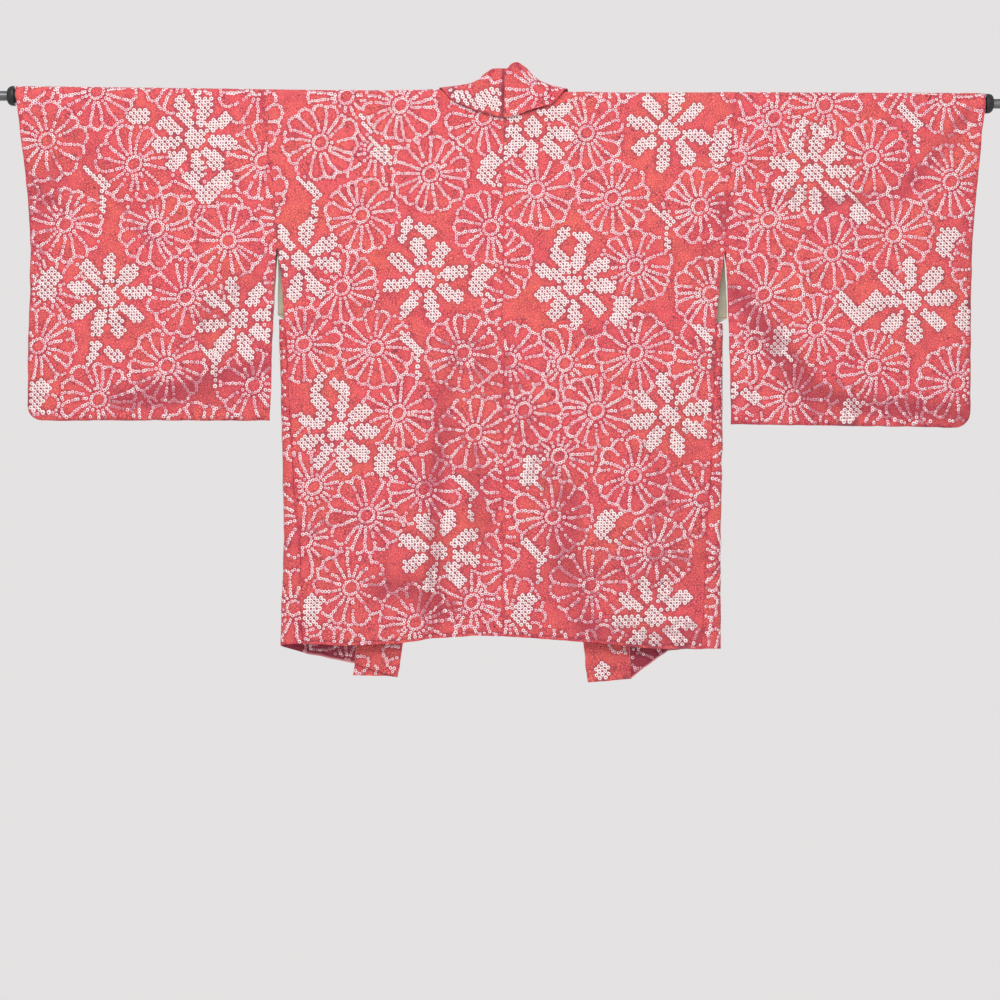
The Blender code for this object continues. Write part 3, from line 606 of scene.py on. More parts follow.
def body_ends(side):
    """The ends of the body's main rows, from the back hem over the rod to the front hem."""
    rows = [hem_ends(side, "back", step / HEM_ROWS) for step in range(HEM_ROWS, 0, -1)]
    rows += [level_ends(side, "back", z) for z in BACK_LEVELS]
    first_x = inner_x(side, "back", 0.0)
    for index, neck in enumerate(NECKLINE):
        x1 = outer_x(side, "back", neck.side_z)
        s0, s1 = s_at("back", neck.z), s_at("back", neck.side_z)
        rows.append(Ends(first_x + neck.x, s0, x1, s1, 0.0, index / len(NECKLINE)))
    shoulder_x = outer_x(side, "back", 0.0)
    rows.append(Ends(NECK_BACK_X, -HALF_ARC, shoulder_x, -HALF_ARC, 0.0, 1.0))
    rows.append(Ends(NECK_TOP_X, 0.0, shoulder_x, 0.0, 0.0, 2.0))
    rows.append(Ends(NECK_FRONT_X, HALF_ARC, shoulder_x, HALF_ARC, 0.0, 3.0))
    rows += [level_ends(side, "front", z, DOWN_FRONT) for z in FRONT_LEVELS]
    rows += [hem_ends(side, "front", step / HEM_ROWS) for step in range(1, HEM_ROWS + 1)]
    return rows


print({side: len(body_ends(side)) for side in SIDES}, "main rows")

# %% [markdown]
# ## The body's grid
#
# refine() adds rows until none is further apart than STEP, which is small enough for the
# creases and keeps the mesh light. Three more crowd near each hem, where the edge is
# rolled. Between the two ends of a row the hem's own sag is added.
# %% The body's grid
STEP = 0.0042
BODY_COLUMNS = 56
HEM_SHARES = (0.36, 0.66, 0.88)


def refine(rows, step):
    """Adds rows between the given ones until neighbours are no more than step apart."""
    fine = []
    for low, high in zip(rows, rows[1:]):
        parts = math.ceil(max(abs(high.s0 - low.s0), abs(high.s1 - low.s1)) / step)
        for part in range(parts):
            fine.append([a + (b - a) * part / parts for a, b in zip(low, high)])
    return np.array(fine + [list(rows[-1])])


def crowd_hems(values):
    """Adds three rows near each hem, for its rolled edge."""
    first = [values[:1] + (values[1:2] - values[:1]) * (1.0 - share) for share in HEM_SHARES[::-1]]
    last = [values[-2:-1] + (values[-1:] - values[-2:-1]) * share for share in HEM_SHARES]
    return np.concatenate([values[:1], *first, values[1:-1], *last, values[-1:]])


def body_flat(side):
    """Flat coordinates of the body's grid, and the rows' along values for the collar."""
    ends = crowd_hems(refine(body_ends(side), STEP))
    share = np.linspace(0.0, 1.0, BODY_COLUMNS + 1)[None, :]
    x0, s0, x1, s1, down, along = (column[:, None] for column in ends.T)
    x = x0 + (x1 - x0) * share
    s = s0 + (s1 - s0) * share
    for layer, way in (("back", 1.0), ("front", -1.0)):
        hem = HEMS[layer]
        straight = read(hem, x0, side) + (read(hem, x1, side) - read(hem, x0, side)) * share
        curve = way * down * (read(hem, x, side) - straight)
        s = np.where(way * s < 0.0, s + curve, s)
    return SIDES[side] * x, s, along[:, 0]


for side in SIDES:
    x, s, along = body_flat(side)
    print("body", side, x.shape, "rows and columns, s from", round(s.min(), 3), "to", round(s.max(), 3))

# %% [markdown]
# ## The sleeve's section
#
# A sleeve is one strip folded over the rod, closed along its bottom and, below the wrist,
# along its outer edge, so its two layers come together there. Two functions say where the
# bottom lies, with its round corner, and how far each layer hangs from the middle plane.
# %% The sleeve's section
def sleeve_bottom(across, outer):
    inner = SLEEVE_INNER["back"][-1].left
    share = np.clip((across - inner) / (outer - inner), 0.0, 1.0)
    bottom = SLEEVE_BOTTOM_INNER_Z + (SLEEVE_BOTTOM_Z - SLEEVE_BOTTOM_INNER_Z) * share
    past = np.clip(across - (outer - SLEEVE_CORNER), 0.0, SLEEVE_CORNER)
    return bottom + SLEEVE_CORNER - np.sqrt(SLEEVE_CORNER ** 2 - past ** 2)


def sleeve_half_depth(across, share, z):
    start, end = SLEEVE_TAPER_X
    low = ease(z / SLEEVE_BOTTOM_Z) * ease((across - start) / (end - start))
    depth = DRAPE_RADIUS + (SLEEVE_LOW_DEPTH - DRAPE_RADIUS) * low
    closing = ease((z - SLEEVE_ROUND_Z) / (SLEEVE_BOTTOM_Z - SLEEVE_ROUND_Z))
    depth = depth * (1.0 + (SLEEVE_BOTTOM_SHARE - 1.0) * closing)
    into_edge = np.clip((share - (1.0 - SEWN_EDGE)) / SEWN_EDGE, 0.0, 1.0)
    sewn = ease((z - CUFF_OPEN_Z) / (WRIST_END_Z - CUFF_OPEN_Z))
    return depth * (1.0 + (np.sqrt(1.0 - into_edge ** 2) - 1.0) * sewn)


print("half depth of a sleeve:", DRAPE_RADIUS, "m at the rod,", SLEEVE_LOW_DEPTH, "m low down")

# %% [markdown]
# ## The sleeve's grid
#
# Rows run round the sleeve from the bottom of the back, over the rod, to the bottom of the
# front. Rows and columns crowd together at the sewn edges, because a soft fold needs a
# few faces to look round.
# %% The sleeve's grid
ROUND_LEVEL = 0.972         # below it the two layers curve together, as a share of the depth
LOW_LEVELS = (1.0, 0.9985, 0.9945, 0.9885, 0.981, ROUND_LEVEL)
EDGE_SHARES = (0.937, 0.952, 0.966, 0.978, 0.988, 0.996, 1.0)
SLEEVE_SHARES = np.concatenate([np.linspace(0.0, 0.92, 64), EDGE_SHARES])
ROD_ROWS = 7


def sleeve_half(side, layer, levels):
    """x, s, depth and fold share of the rows at these levels of one side of a sleeve."""
    level = levels[:, None]
    z_mid = level * SLEEVE_BOTTOM_Z
    inner = np.where(
        z_mid >= ARMHOLE_END_Z,
        outer_x(side, layer, z_mid) + SEAM_GAP,
        read(SLEEVE_INNER[layer], z_mid, side),
    )
    outer = read(SLEEVE_OUTER, z_mid, side)
    x = inner + (outer - inner) * SLEEVE_SHARES[None, :]
    z = level * sleeve_bottom(x, outer)
    depth = sleeve_half_depth(x, SLEEVE_SHARES[None, :], z)
    tail = np.clip((level - ROUND_LEVEL) / (1.0 - ROUND_LEVEL), 0.0, 1.0)
    depth = depth * np.sqrt(1.0 - tail ** 2)
    return x, s_at(layer, z), depth, np.minimum(depth / SLEEVE_LOW_DEPTH, 1.0)


def sleeve_flat(side):
    count = math.ceil(-SLEEVE_BOTTOM_Z / STEP)
    levels = np.concatenate([LOW_LEVELS, np.linspace(ROUND_LEVEL, 0.0, count)[1:]])
    back = sleeve_half(side, "back", levels)
    front = sleeve_half(side, "front", levels[::-1])
    s_rod = np.linspace(-HALF_ARC, HALF_ARC, ROD_ROWS + 2)[1:-1, None]
    top_x = back[0][-1:]
    one = np.ones_like(top_x * s_rod)
    rod = (top_x * np.ones_like(s_rod), s_rod * np.ones_like(top_x), DRAPE_RADIUS * one, one)
    x, s, depth, fold_share = (np.vstack(three) for three in zip(back, rod, front))
    return SIDES[side] * x, s, depth, fold_share


print("sleeve grid", sleeve_flat("left")[0].shape)

# %% [markdown]
# ## The gussets
#
# The gusset is a narrow strip between back and front. When a haori is hung flat it folds
# double, inwards along the side. A sine carries each row from the back's seam in to the
# fold and out again, so that no thin wedge of air is left between layers.
# %% The gussets
GUSSET_ROWS = 104
GUSSET_STEPS = 12


def gusset_grid(side):
    """Points of the gusset, and its flat coordinates."""
    way = SIDES[side]
    share = np.linspace(0.0, 1.0, GUSSET_ROWS)[:, None]
    turn = np.linspace(0.0, 1.0, GUSSET_STEPS + 1)[None, :]
    z_ends = [read(HEMS[layer], outer_x(side, layer, -BODY_LENGTH), side) for layer in ("back", "front")]
    z_back, z_front = (GUSSET_TOP_Z + (z_end - GUSSET_TOP_Z) * share for z_end in z_ends)
    fold_x = read(SIDE_FOLD, z_back, side) - CLOTH
    x_back = outer_x(side, "back", z_back) + SEAM_GAP
    x_front = outer_x(side, "front", z_front) + SEAM_GAP
    y_back = hang(way * x_back, s_at("back", z_back))[..., 1]
    y_front = hang(way * x_front, s_at("front", z_front))[..., 1]
    sewn_x = x_back + (x_front - x_back) * turn
    x = sewn_x + (fold_x - sewn_x) * np.sin(math.pi * turn)
    y = y_back + (y_front - y_back) * (0.5 - 0.5 * np.cos(math.pi * turn))
    z = z_back + (z_front - z_back) * turn ** 2
    space = np.stack([way * x, y, z], axis=-1)
    width = np.cumsum(np.linalg.norm(np.diff(space, axis=1, prepend=space[:, :1]), axis=-1), axis=1)
    return space, width, -z


print("gusset folds", GUSSET_ROWS, "rows of", GUSSET_STEPS, "faces")

# %% [markdown]
# ## Where the collar runs
#
# The collar is sewn to the neckline and the fronts, stands up, and folds over along its
# middle, so that its free edge lies over the seam again. This finds the sewn edge, the
# fold and the free edge for every row of the body's inner edge. Down the front all three
# follow the hem's depth and the large folds.
# %% Where the collar runs
def collar_stations(side):
    """For each row: the sewn edge, the fold, the free edge and the way out from the rod."""
    x, s, along = body_flat(side)
    sewn = hang(x[:, 0], s[:, 0])
    hem_z = sewn[-1][2]
    first_x = abs(x[np.argmax(along >= 0.0), 0])
    stations = []
    for point, row_s, row_along in zip(sewn, s[:, 0], along):
        if row_along < 0.0:
            continue
        if row_s > HALF_ARC:
            z = point[2]
            past = (z - FRONT_ALONG_Z) / (hem_z - FRONT_ALONG_Z)
            row_along = 3.0 + z / FRONT_ALONG_Z if z > FRONT_ALONG_Z else 4.0 + min(past, 1.0)
        table = COLLARS[side]
        value = {name: read_smooth(table, row_along, name) for name in Collar._fields[1:]}
        fold, free = (
            Vector((SIDES[side] * (first_x + value[end + "_x"]), value[end + "_y"], value[end + "_z"]))
            for end in ("fold", "free")
        )
        radial = Vector((0.0, point[1], point[2] if 1.0 < row_along < 3.0 else 0.0)).normalized()
        edge = Vector(point) + radial * (0.5 * CLOTH)
        if row_along > 3.0:
            drop, pull = point[2] / hem_z, min(row_along - 3.0, 1.0)
            for end, last in ((fold, table[-1].fold_z), (free, table[-1].free_z)):
                end.z += (last * drop - end.z) * pull
                end.y += float(fold_depth("front", np.array(end.x), np.array(end.z)))
        stations.append((edge, fold, free, radial))
    return stations


print({side: len(collar_stations(side)) for side in SIDES}, "rows along the collar")

# %% [markdown]
# ## The collar's section
#
# The section is drawn at every row: a flat sewn flap, a half circle for the fold and a
# turned flap that bulges a little. Points too near the rod are pushed out until they
# clear it. A curve through all the points then makes the band smooth.
# %% The collar's section
FLAP_STEPS = 4
BEND_STEPS = 4


def clear_of_rod(point, least):
    away = math.hypot(point.y, point.z)
    if away < least:
        point.y *= least / away
        point.z *= least / away
    return point


def collar_section(edge, fold, free, radial, path):
    """Points across the collar: the sewn flap, the fold and the turned flap."""
    reach = (fold - edge).normalized()
    normal = reach.cross(path).normalized()
    if normal.dot(radial) < 0.0:
        normal.negate()
    start = edge + reach * COLLAR_SEAM_GAP
    outward = normal.cross(path).normalized()
    if outward.dot(reach) < 0.0:
        outward.negate()
    turns = [math.pi * step / BEND_STEPS for step in range(BEND_STEPS + 1)]
    bend = [fold + (outward * math.sin(a) - normal * math.cos(a)) * COLLAR_FOLD_RADIUS for a in turns]
    section = [start]
    for step in range(1, FLAP_STEPS):
        section.append(clear_of_rod(start.lerp(bend[0], step / FLAP_STEPS), SEWN_FLAP_RADIUS))
    section += bend[:-1]
    for step in range(FLAP_STEPS + 1):
        bulge = normal * (COLLAR_BULGE * math.sin(math.pi * step / FLAP_STEPS))
        section.append(clear_of_rod(bend[-1].lerp(free, step / FLAP_STEPS) + bulge, TURNED_FLAP_RADIUS))
    return section


def through_points(points, parts):
    """The points with parts - 1 more between each two, on a curve through them all."""
    points = np.array(points)
    before = np.vstack([points[:1], points[:-2]])
    after = np.vstack([points[2:], points[-1:]])
    low, high = points[:-1], points[1:]
    slopes = (0.5 * (high - before), 0.5 * (after - low))
    rows = [curve(part / parts, low, high, *slopes) for part in range(parts)]
    mixed = np.stack(rows, axis=1).reshape(-1, points.shape[1])
    return np.vstack([mixed, points[-1:]])


print("collar section", 2 * FLAP_STEPS + BEND_STEPS + 1, "points before the curve")

# %% [markdown]
# ## Relaxing a flat map
#
# The body and sleeves are bent from their flat shape. The collar is built in space, so
# its flat map has to be found, or flowers would be stretched at the neck. Springs pull or
# push each point until its neighbours are as far on the map as on the bent cloth.
# %% Relaxing a flat map
RELAXING_ROUNDS = 350
SPRING_SHARE = 0.25         # of each pull that one round carries out


def neighbours(grid, rows, columns):
    """The grid's points, and beside each the point so many rows and columns further on."""
    high, wide = grid.shape[:2]
    near = grid[:high - rows, max(-columns, 0):wide - max(columns, 0)]
    far = grid[rows:, max(columns, 0):wide - max(-columns, 0)]
    return near, far


def relaxed(flat, space):
    """Each round moves neighbours towards their true distance."""
    for _ in range(RELAXING_ROUNDS):
        push = np.zeros_like(flat)
        for step in ((1, 0), (0, 1), (1, 1), (1, -1)):
            near, far = neighbours(flat, *step)
            bent = np.linalg.norm(np.subtract(*neighbours(space, *step)), axis=-1, keepdims=True)
            span = far - near
            pull = 0.5 * span * (1.0 - bent / np.linalg.norm(span, axis=-1, keepdims=True))
            first, second = neighbours(push, *step)
            first += pull
            second -= pull
        flat = flat + SPRING_SHARE * push
    return flat


print("springs are relaxed in", RELAXING_ROUNDS, "rounds")

# %% [markdown]
# ## Laying the collar flat
#
# A coarse grid is relaxed first, because it settles quickly, and then two finer ones. At
# the neck the cloth is too full to lie flat, and a few rows double back. They are spread
# out evenly, so the pattern is a little squeezed there but never printed twice.
# %% Laying the collar flat
COARSE_TO_FINE = (4, 2, 1)
UNFOLDING_ROUNDS = 300
LEAST_STEP = 0.6            # between rows of the map, as a share of the true step
SMOOTH_ROWS = 3             # neighbours that settle which way the collar runs
COLLAR_HALF_GAP = 0.00003   # between the halves at the centre back
CLOSING_ROWS = 2.0          # over which the halves ease apart from it


def laid_flat(space):
    """Flat points whose neighbours are as far apart as they are on the bent cloth."""
    down = np.linalg.norm(np.diff(space, axis=0), axis=-1).mean(axis=1)
    over = np.linalg.norm(np.diff(space, axis=1), axis=-1).mean(axis=0)
    down, over = (np.concatenate([[0.0], np.cumsum(steps)]) for steps in (down, over))
    flat = np.stack(np.meshgrid(down, over, indexing="ij"), axis=-1)
    for skip in COARSE_TO_FINE:
        rows = sorted({*range(0, len(down), skip), len(down) - 1})
        columns = sorted({*range(0, len(over), skip), len(over) - 1})
        part = relaxed(flat[np.ix_(rows, columns)], space[np.ix_(rows, columns)])
        for k in (0, 1):
            along = np.array([np.interp(down, down[rows], line) for line in part[..., k].T]).T
            flat[..., k] = np.array([np.interp(over, over[columns], line) for line in along])
    least = LEAST_STEP * np.linalg.norm(np.diff(space, axis=0), axis=-1)
    for _ in range(UNFOLDING_ROUNDS):
        short = np.diff(flat[..., 0], axis=0) < least
        doubled = short[1:] | short[:-1]
        between = 0.5 * (flat[2:] + flat[:-2])
        flat[1:-1][doubled] = between[doubled]
    return flat


def collar_grid(side):
    """Points of the collar's middle layer, and flat coordinates along and across the band."""
    stations = collar_stations(side)
    last = len(stations) - 1
    sections = []
    for index, station in enumerate(stations):
        low, high = stations[max(index - SMOOTH_ROWS, 0)], stations[min(index + SMOOTH_ROWS, last)]
        path = (high[0] + high[1]) - (low[0] + low[1])
        if index == 0:
            path = Vector((path.x, 0.0, 0.0))
        sections.append(through_points(collar_section(*station, path), 3))
    space = np.array(sections)
    closing = np.exp(-np.arange(len(space)) / CLOSING_ROWS)[:, None]
    space[..., 0] -= closing * (space[:1, :, 0] - SIDES[side] * COLLAR_HALF_GAP)
    flat = laid_flat(space)
    return space, flat[..., 0] - flat[0, -1, 0], flat[..., 1] - flat[..., 1].min()


for side in SIDES:
    space, length, width = collar_grid(side)
    print("collar", side, space.shape[:2], "length", round(length.max(), 3), "width", round(width.max(), 3))

# %% [markdown]
# ## The ripple
#
# Real cloth has no ruler-straight edge. A ripple, many slow waves from a fixed seed, moves
# all panels alike, so that seams stay shut while the straight look goes.
# %% The ripple
RIPPLE_WAVES = 26
RIPPLE_SIDEWAYS = 0.00055
RIPPLE_OUT = 0.0005


def waves(seed, shortest, longest):
    """A smooth random function of two flat arrays, about -1 to 1."""
    rng = np.random.default_rng(seed)
    lengths = np.exp(rng.uniform(math.log(shortest), math.log(longest), RIPPLE_WAVES))
    turns = rng.uniform(0.0, 2.0 * math.pi, RIPPLE_WAVES)
    phases = rng.uniform(0.0, 2.0 * math.pi, RIPPLE_WAVES)

    def height(a, b):
        total = np.zeros_like(a)
        for wave, turn, phase in zip(2.0 * math.pi / lengths, turns, phases):
            total += np.sin(wave * (a * math.cos(turn) + b * math.sin(turn)) + phase)
        return total / math.sqrt(0.5 * RIPPLE_WAVES) / 2.0

    return height


ripple_x = waves(11, 0.02, 0.09)
ripple_z = waves(12, 0.02, 0.09)
ripple_out_back = waves(13, 0.012, 0.06)
ripple_out_front = waves(14, 0.012, 0.06)
print("ripple of", RIPPLE_WAVES, "waves,", RIPPLE_OUT, "m out of the cloth")

# %% [markdown]
# ## One panel
#
# A panel keeps the points of one strip with its flat coordinates. To the plain surface it
# adds the ripple, the creases and the seams, which pull the cloth in as a sewing thread
# does. It also notes each point's painted shade, from the depth of its folds and creases,
# and the lines of the hem: the groove where the lining is caught is above 0, and the
# rolled edge below it, where a highlight is painted.
# %% One panel
SEAM_PULL = 0.0007
SEAM_PULL_WIDTH = 0.003
COLLAR_SEAM_REACH = 0.0014  # of the dark line where the collar's halves meet
HEM_GROOVE = 0.0007
HEM_GROOVE_AT = 0.0045      # above the hem
HEM_GROOVE_WIDTH = 0.0012
HEM_EDGE = 0.002            # width of the rolled edge, where a highlight is painted
ON_ROD = 0.004              # ripples fade out this near the rod's own plane
DEEP_FOLD = 0.006           # its depth over this is a fold's shade, up to MOST_FOLD_SHADE
MOST_FOLD_SHADE = 0.5
RIPPLE_START = 0.02         # sideways ripples begin this far below the rod
Panel = namedtuple("Panel", "name space normal x s faces cloth shade hem_line")


def grid_faces(rows, columns):
    index = np.arange(rows * columns).reshape(rows, columns)
    corners = (index[:-1, :-1], index[:-1, 1:], index[1:, 1:], index[1:, :-1])
    return np.stack(corners, axis=-1).reshape(-1, 4)


def grid_normals(space):
    across = np.gradient(space, axis=1)
    along = np.gradient(space, axis=0)
    normal = np.cross(across, along)
    return normal / np.maximum(np.linalg.norm(normal, axis=-1, keepdims=True), 1e-12)


def make_panel(name, space, x, s, facing, cloth, seams=None, hem=None):
    """facing is a row, a column and the way the cloth's right side looks there.

    seams and hem hold the distance of each point from the nearest seam and hem.
    """
    row, column, way = facing
    normal = grid_normals(space)
    turned = float(np.dot(normal[row, column], way)) < 0.0
    if turned:
        normal = -normal
    a, b = space[..., 0], space[..., 2]
    free = np.clip(np.abs(space[..., 1]) / ON_ROD, 0.0, 1.0)
    out = np.where(space[..., 1] < 0.0, ripple_out_back(a, b), ripple_out_front(a, b)) * RIPPLE_OUT * free
    shade = np.zeros_like(a)
    for layer, way in (("back", -1.0), ("front", 1.0)):
        depth, dark = crease_profiles(layer, a, b)
        on_layer = (space[..., 1] * way > 0.0) & (not name.startswith("collar"))
        fold = fold_depth(layer, a, b)
        out = out + np.where(on_layer, depth * free * ease(-b / FOLD_FADE_Z), 0.0)
        # Painted shade, in creases and in the troughs of large folds.
        shade = shade + np.where(on_layer, dark + np.clip(-fold / DEEP_FOLD, 0.0, MOST_FOLD_SHADE), 0.0)
    if seams is not None:
        out = out - SEAM_PULL * np.exp(-((seams / SEAM_PULL_WIDTH) ** 2)) * free
    line = np.zeros_like(a)
    if name.startswith("collar"):
        line = np.exp(-((np.linalg.norm(space - space[:1], axis=-1) / COLLAR_SEAM_REACH) ** 2))
    if hem is not None:
        line = np.exp(-(((hem - HEM_GROOVE_AT) / HEM_GROOVE_WIDTH) ** 2))
        out = out - HEM_GROOVE * line
        # Below 0: the rolled hem edge, where a highlight is painted.
        line = line - np.exp(-((hem / HEM_EDGE) ** 2))
    moved = space + normal * out[..., None]
    moved[..., 0] += RIPPLE_SIDEWAYS * ripple_x(a, b)
    moved[..., 2] += RIPPLE_SIDEWAYS * ripple_z(a, b) * np.clip(-b / RIPPLE_START, 0.0, 1.0)
    faces = grid_faces(*x.shape)
    if turned:
        faces = faces[:, ::-1]
    normal = grid_normals(moved) * (-1.0 if turned else 1.0)
    return Panel(name, moved, normal, x, s, faces, cloth, np.clip(shade, 0.0, 1.0), line)


print("a seam pulls", SEAM_PULL, "m, within", SEAM_PULL_WIDTH, "m")

# %% [markdown]
# ## All panels
#
# Each side of the jacket has four panels: a body length, a sleeve, a gusset and half the
# collar. A face near the middle of each tells make_panel which way is outwards.
# %% All panels
BACKWARDS = (0.0, -1.0, 0.0)
panels = {}
for side, way in SIDES.items():
    x, s, along = body_flat(side)
    seam = np.minimum(np.abs(x - x[:, :1]), np.abs(x - x[:, -1:]))
    hem = np.minimum(np.abs(s - s[:1]), np.abs(s - s[-1:]))
    facing = (0, BODY_COLUMNS // 2, BACKWARDS)
    body = make_panel("body_" + side, hang(x, s), x, s, facing, CLOTH, seam, hem)
    x, s, depth, fold_share = sleeve_flat(side)
    space, seam = hang(x, s, depth, fold_share), np.abs(x - x[:, :1])
    sleeve = make_panel("sleeve_" + side, space, x, s, (50, 30, BACKWARDS), CLOTH, seam)
    space, width, drop = gusset_grid(side)
    gusset = make_panel("gusset_" + side, space, width, drop, (50, GUSSET_STEPS // 2, (way, 0.0, 0.0)), CLOTH)
    space, length, width = collar_grid(side)
    collar = make_panel("collar_" + side, space, length, width, (0, -1, BACKWARDS), COLLAR_CLOTH)
    for panel in (body, sleeve, gusset, collar):
        panels[panel.name] = panel
        print(panel.name, len(panel.faces), "faces")

# %% [markdown]
# ## Places for baking
#
# Baking colours to a picture takes a UV map without overlaps. The "OFBake" map lays each
# grid out as rectangles, the wrong side beside the right side, and gives the rims narrow
# strips of their own.
# %% Places for baking
BAKE_MARGIN = 0.012
RIM_STRIP = 0.006


def bake_places(panel, halves):
    """A corner's place in its rectangle; back and front get one each when halves is 2."""
    rows, columns = panel.x.shape
    row, column = np.divmod(panel.faces, columns)
    u = column / (columns - 1)
    half_row = int(np.argmax(panel.s[:, 0] >= 0.0)) if halves == 2 else rows - 1
    front = (row.min(axis=1) >= half_row)[:, None] * np.ones((1, 4), int)
    v = np.where(front == 0, row / half_row, (row - half_row) / max(rows - 1 - half_row, 1))
    inset = 1.0 - 2.0 * BAKE_MARGIN
    return np.stack([(front + BAKE_MARGIN + u * inset) / (2 * halves), BAKE_MARGIN + v * inset], axis=-1)


def widen_rims(mesh, halves, first_rim, vertex_count):
    """Gives the rim faces, which start at first_rim, a width in the bake map."""
    layer = mesh.uv_layers["OFBake"].uv
    places = np.empty((len(mesh.loops), 2), np.float32)
    layer.foreach_get("vector", places.ravel())
    vertex = np.empty(len(mesh.loops), np.int32)
    mesh.loops.foreach_get("vertex_index", vertex)
    start = mesh.polygons[first_rim].loop_start
    wrong_start = mesh.polygons[first_rim // 2].loop_start
    places[wrong_start:start, 0] += 0.5
    u, v = (places[start:, 0] * 2 * halves) % 1.0, places[start:, 1]
    pushed = vertex[start:] >= vertex_count
    near_u = np.minimum(u, 1.0 - u) < np.minimum(v, 1.0 - v)
    places[start:, 0] += pushed * near_u * np.sign(u - 0.5) * RIM_STRIP / (2 * halves)
    places[start:, 1] += pushed * ~near_u * np.sign(v - 0.5) * RIM_STRIP
    layer.foreach_set("vector", places.ravel())


print("rims get strips of", RIM_STRIP, "of the picture")

# %% [markdown]
# ## Shells
#
# A grid has no thickness. Doubled points are merged where a seam closes a panel, and
# Solidify gives it a right side, a wrong side and a rim. A second UV map, "flat", holds
# metres on the cut cloth, for the dye to read. The wrong side gets the lining's material,
# or the silk's own where it's turned in.
# %% Shells
RIGHT_SIDE, LINED_SIDE, SELF_FACED_SIDE = 0, 1, 2
SAME_POINT = 2e-5           # points nearer than this are one


def evaluated_mesh(obj):
    graph = bpy.context.evaluated_depsgraph_get()
    return bpy.data.meshes.new_from_object(obj.evaluated_get(graph), depsgraph=graph)


def store(mesh, name, data_type, word, values, number_type=np.float32):
    layer = mesh.attributes.new(name, data_type, "POINT")
    layer.data.foreach_set(word, np.asarray(values, number_type).ravel())


def cloth_object(panel, materials, faced, dye=None):
    """The panel as a shell. faced holds a True for each grid face with self cloth behind it."""
    halves = 2 if panel.name[:4] in ("body", "slee") else 1
    mesh = bpy.data.meshes.new(panel.name)
    mesh.from_pydata(panel.space.reshape(-1, 3).tolist(), [], panel.faces.tolist())
    flat = np.stack([panel.x, panel.s], axis=-1).reshape(-1, 2)[panel.faces]
    for name, places in (("flat", flat), ("OFBake", bake_places(panel, halves))):
        mesh.uv_layers.new(name=name).uv.foreach_set("vector", places.astype(np.float32).ravel())
    if dye is not None:
        store(mesh, "dye", "FLOAT_COLOR", "color", dye)
    mesh.polygons.foreach_set("material_index", np.where(faced, SELF_FACED_SIDE, LINED_SIDE))
    build = bmesh.new()
    build.from_mesh(mesh)
    bmesh.ops.remove_doubles(build, verts=build.verts, dist=SAME_POINT)
    build.to_mesh(mesh)
    build.free()
    for material in materials:
        mesh.materials.append(material)
    obj = put_in_scene(panel.name + "_cloth", mesh)
    thick = obj.modifiers.new("thickness", "SOLIDIFY")
    thick.thickness = panel.cloth
    thick.offset = 0.0 if panel.name.startswith("collar") else 1.0
    solid = evaluated_mesh(obj)
    obj.modifiers.remove(thick)
    obj.data = solid
    face_count = len(mesh.polygons)
    side = np.empty(len(solid.polygons), np.int32)
    solid.polygons.foreach_get("material_index", side)
    side[:face_count] = RIGHT_SIDE
    side[2 * face_count:] = RIGHT_SIDE
    solid.polygons.foreach_set("material_index", side)
    widen_rims(solid, halves, 2 * face_count, len(mesh.vertices))
    return obj


print("cloth", 1000 * CLOTH, "mm thick, the collar's", 1000 * COLLAR_CLOTH, "mm a layer")

# %% [markdown]
# ## Places of the flowers
#
# Most flowers are chrysanthemums drawn with single dots: a ring and about fifteen long
# petals in outline. One in five is filled with dots packed side by side. Their places on
# the back are scattered, in centimetres from the middle and below the rod; on the
# collar they count along it from the centre back and up from its free edge.
# %% Places of the flowers
FILLED_FLOWERS = {
    "sleeve_left": ((-40.5, 5.5), (-51.7, 26.4), (-34.5, 29.3)),
    "body_left": ((-10, 23.8), (-21.5, 44), (-7.9, 59.5), (-26.5, 21.5)),
    "body_right": ((4, 3.7), (21.8, 4), (9.5, 24.5), (22.3, 41.5), (20.5, 68)),
    "sleeve_right": ((40.7, 9.5), (54, 26.3)),
    "collar_right": ((17.5, 3.0),),
}
OUTLINED_FLOWERS = {
    "sleeve_left": (
        (-60, 6), (-48.5, 9), (-57.5, 17), (-53.5, -0.5), (-45.5, 17.5), (-36, 19), (-41.5, 26.5),
        (-61, 33), (-44, 35.5), (-53, 40), (-32.5, 38), (-31.5, 8.5),
    ),
    "body_left": (
        (-24, 6), (-13.5, 1), (-9.5, 10), (-18.5, 15.5), (-2.5, 2.5), (-1.5, 17), (-21, 25), (-26, 32.5),
        (-16.5, 33), (-5, 33.5), (-13.5, 41.5), (-3.5, 44), (-10, 51.5), (-17.5, 55), (-19.5, 64.5),
        (-11, 69),
    ),
    "body_right": (
        (11, 4.5), (4.5, 12), (14.5, 13), (26, 14), (17.5, 22), (27.5, 25.5), (1, 34.5), (3, 41), (7, 55),
        (17.5, 49.5), (20.5, 59.5), (12, 64), (26.5, 52.5),
    ),
    "sleeve_right": (
        (31, 7.5), (48.5, 7.5), (59, 10.5), (51.5, 17.5), (43.5, 20), (34.5, 25.5), (41.5, 30), (49, 35),
        (60, 37), (38.5, 39), (58.5, -0.5),
    ),
    "collar_left": ((1.9, 10.0), (10.0, 3.4)),
    "collar_right": ((5.3, 2.9), (3.2, 10.6), (12.5, 6.5)),
}
print(sum(len(places) for places in OUTLINED_FLOWERS.values()), "outlined flowers placed by eye")

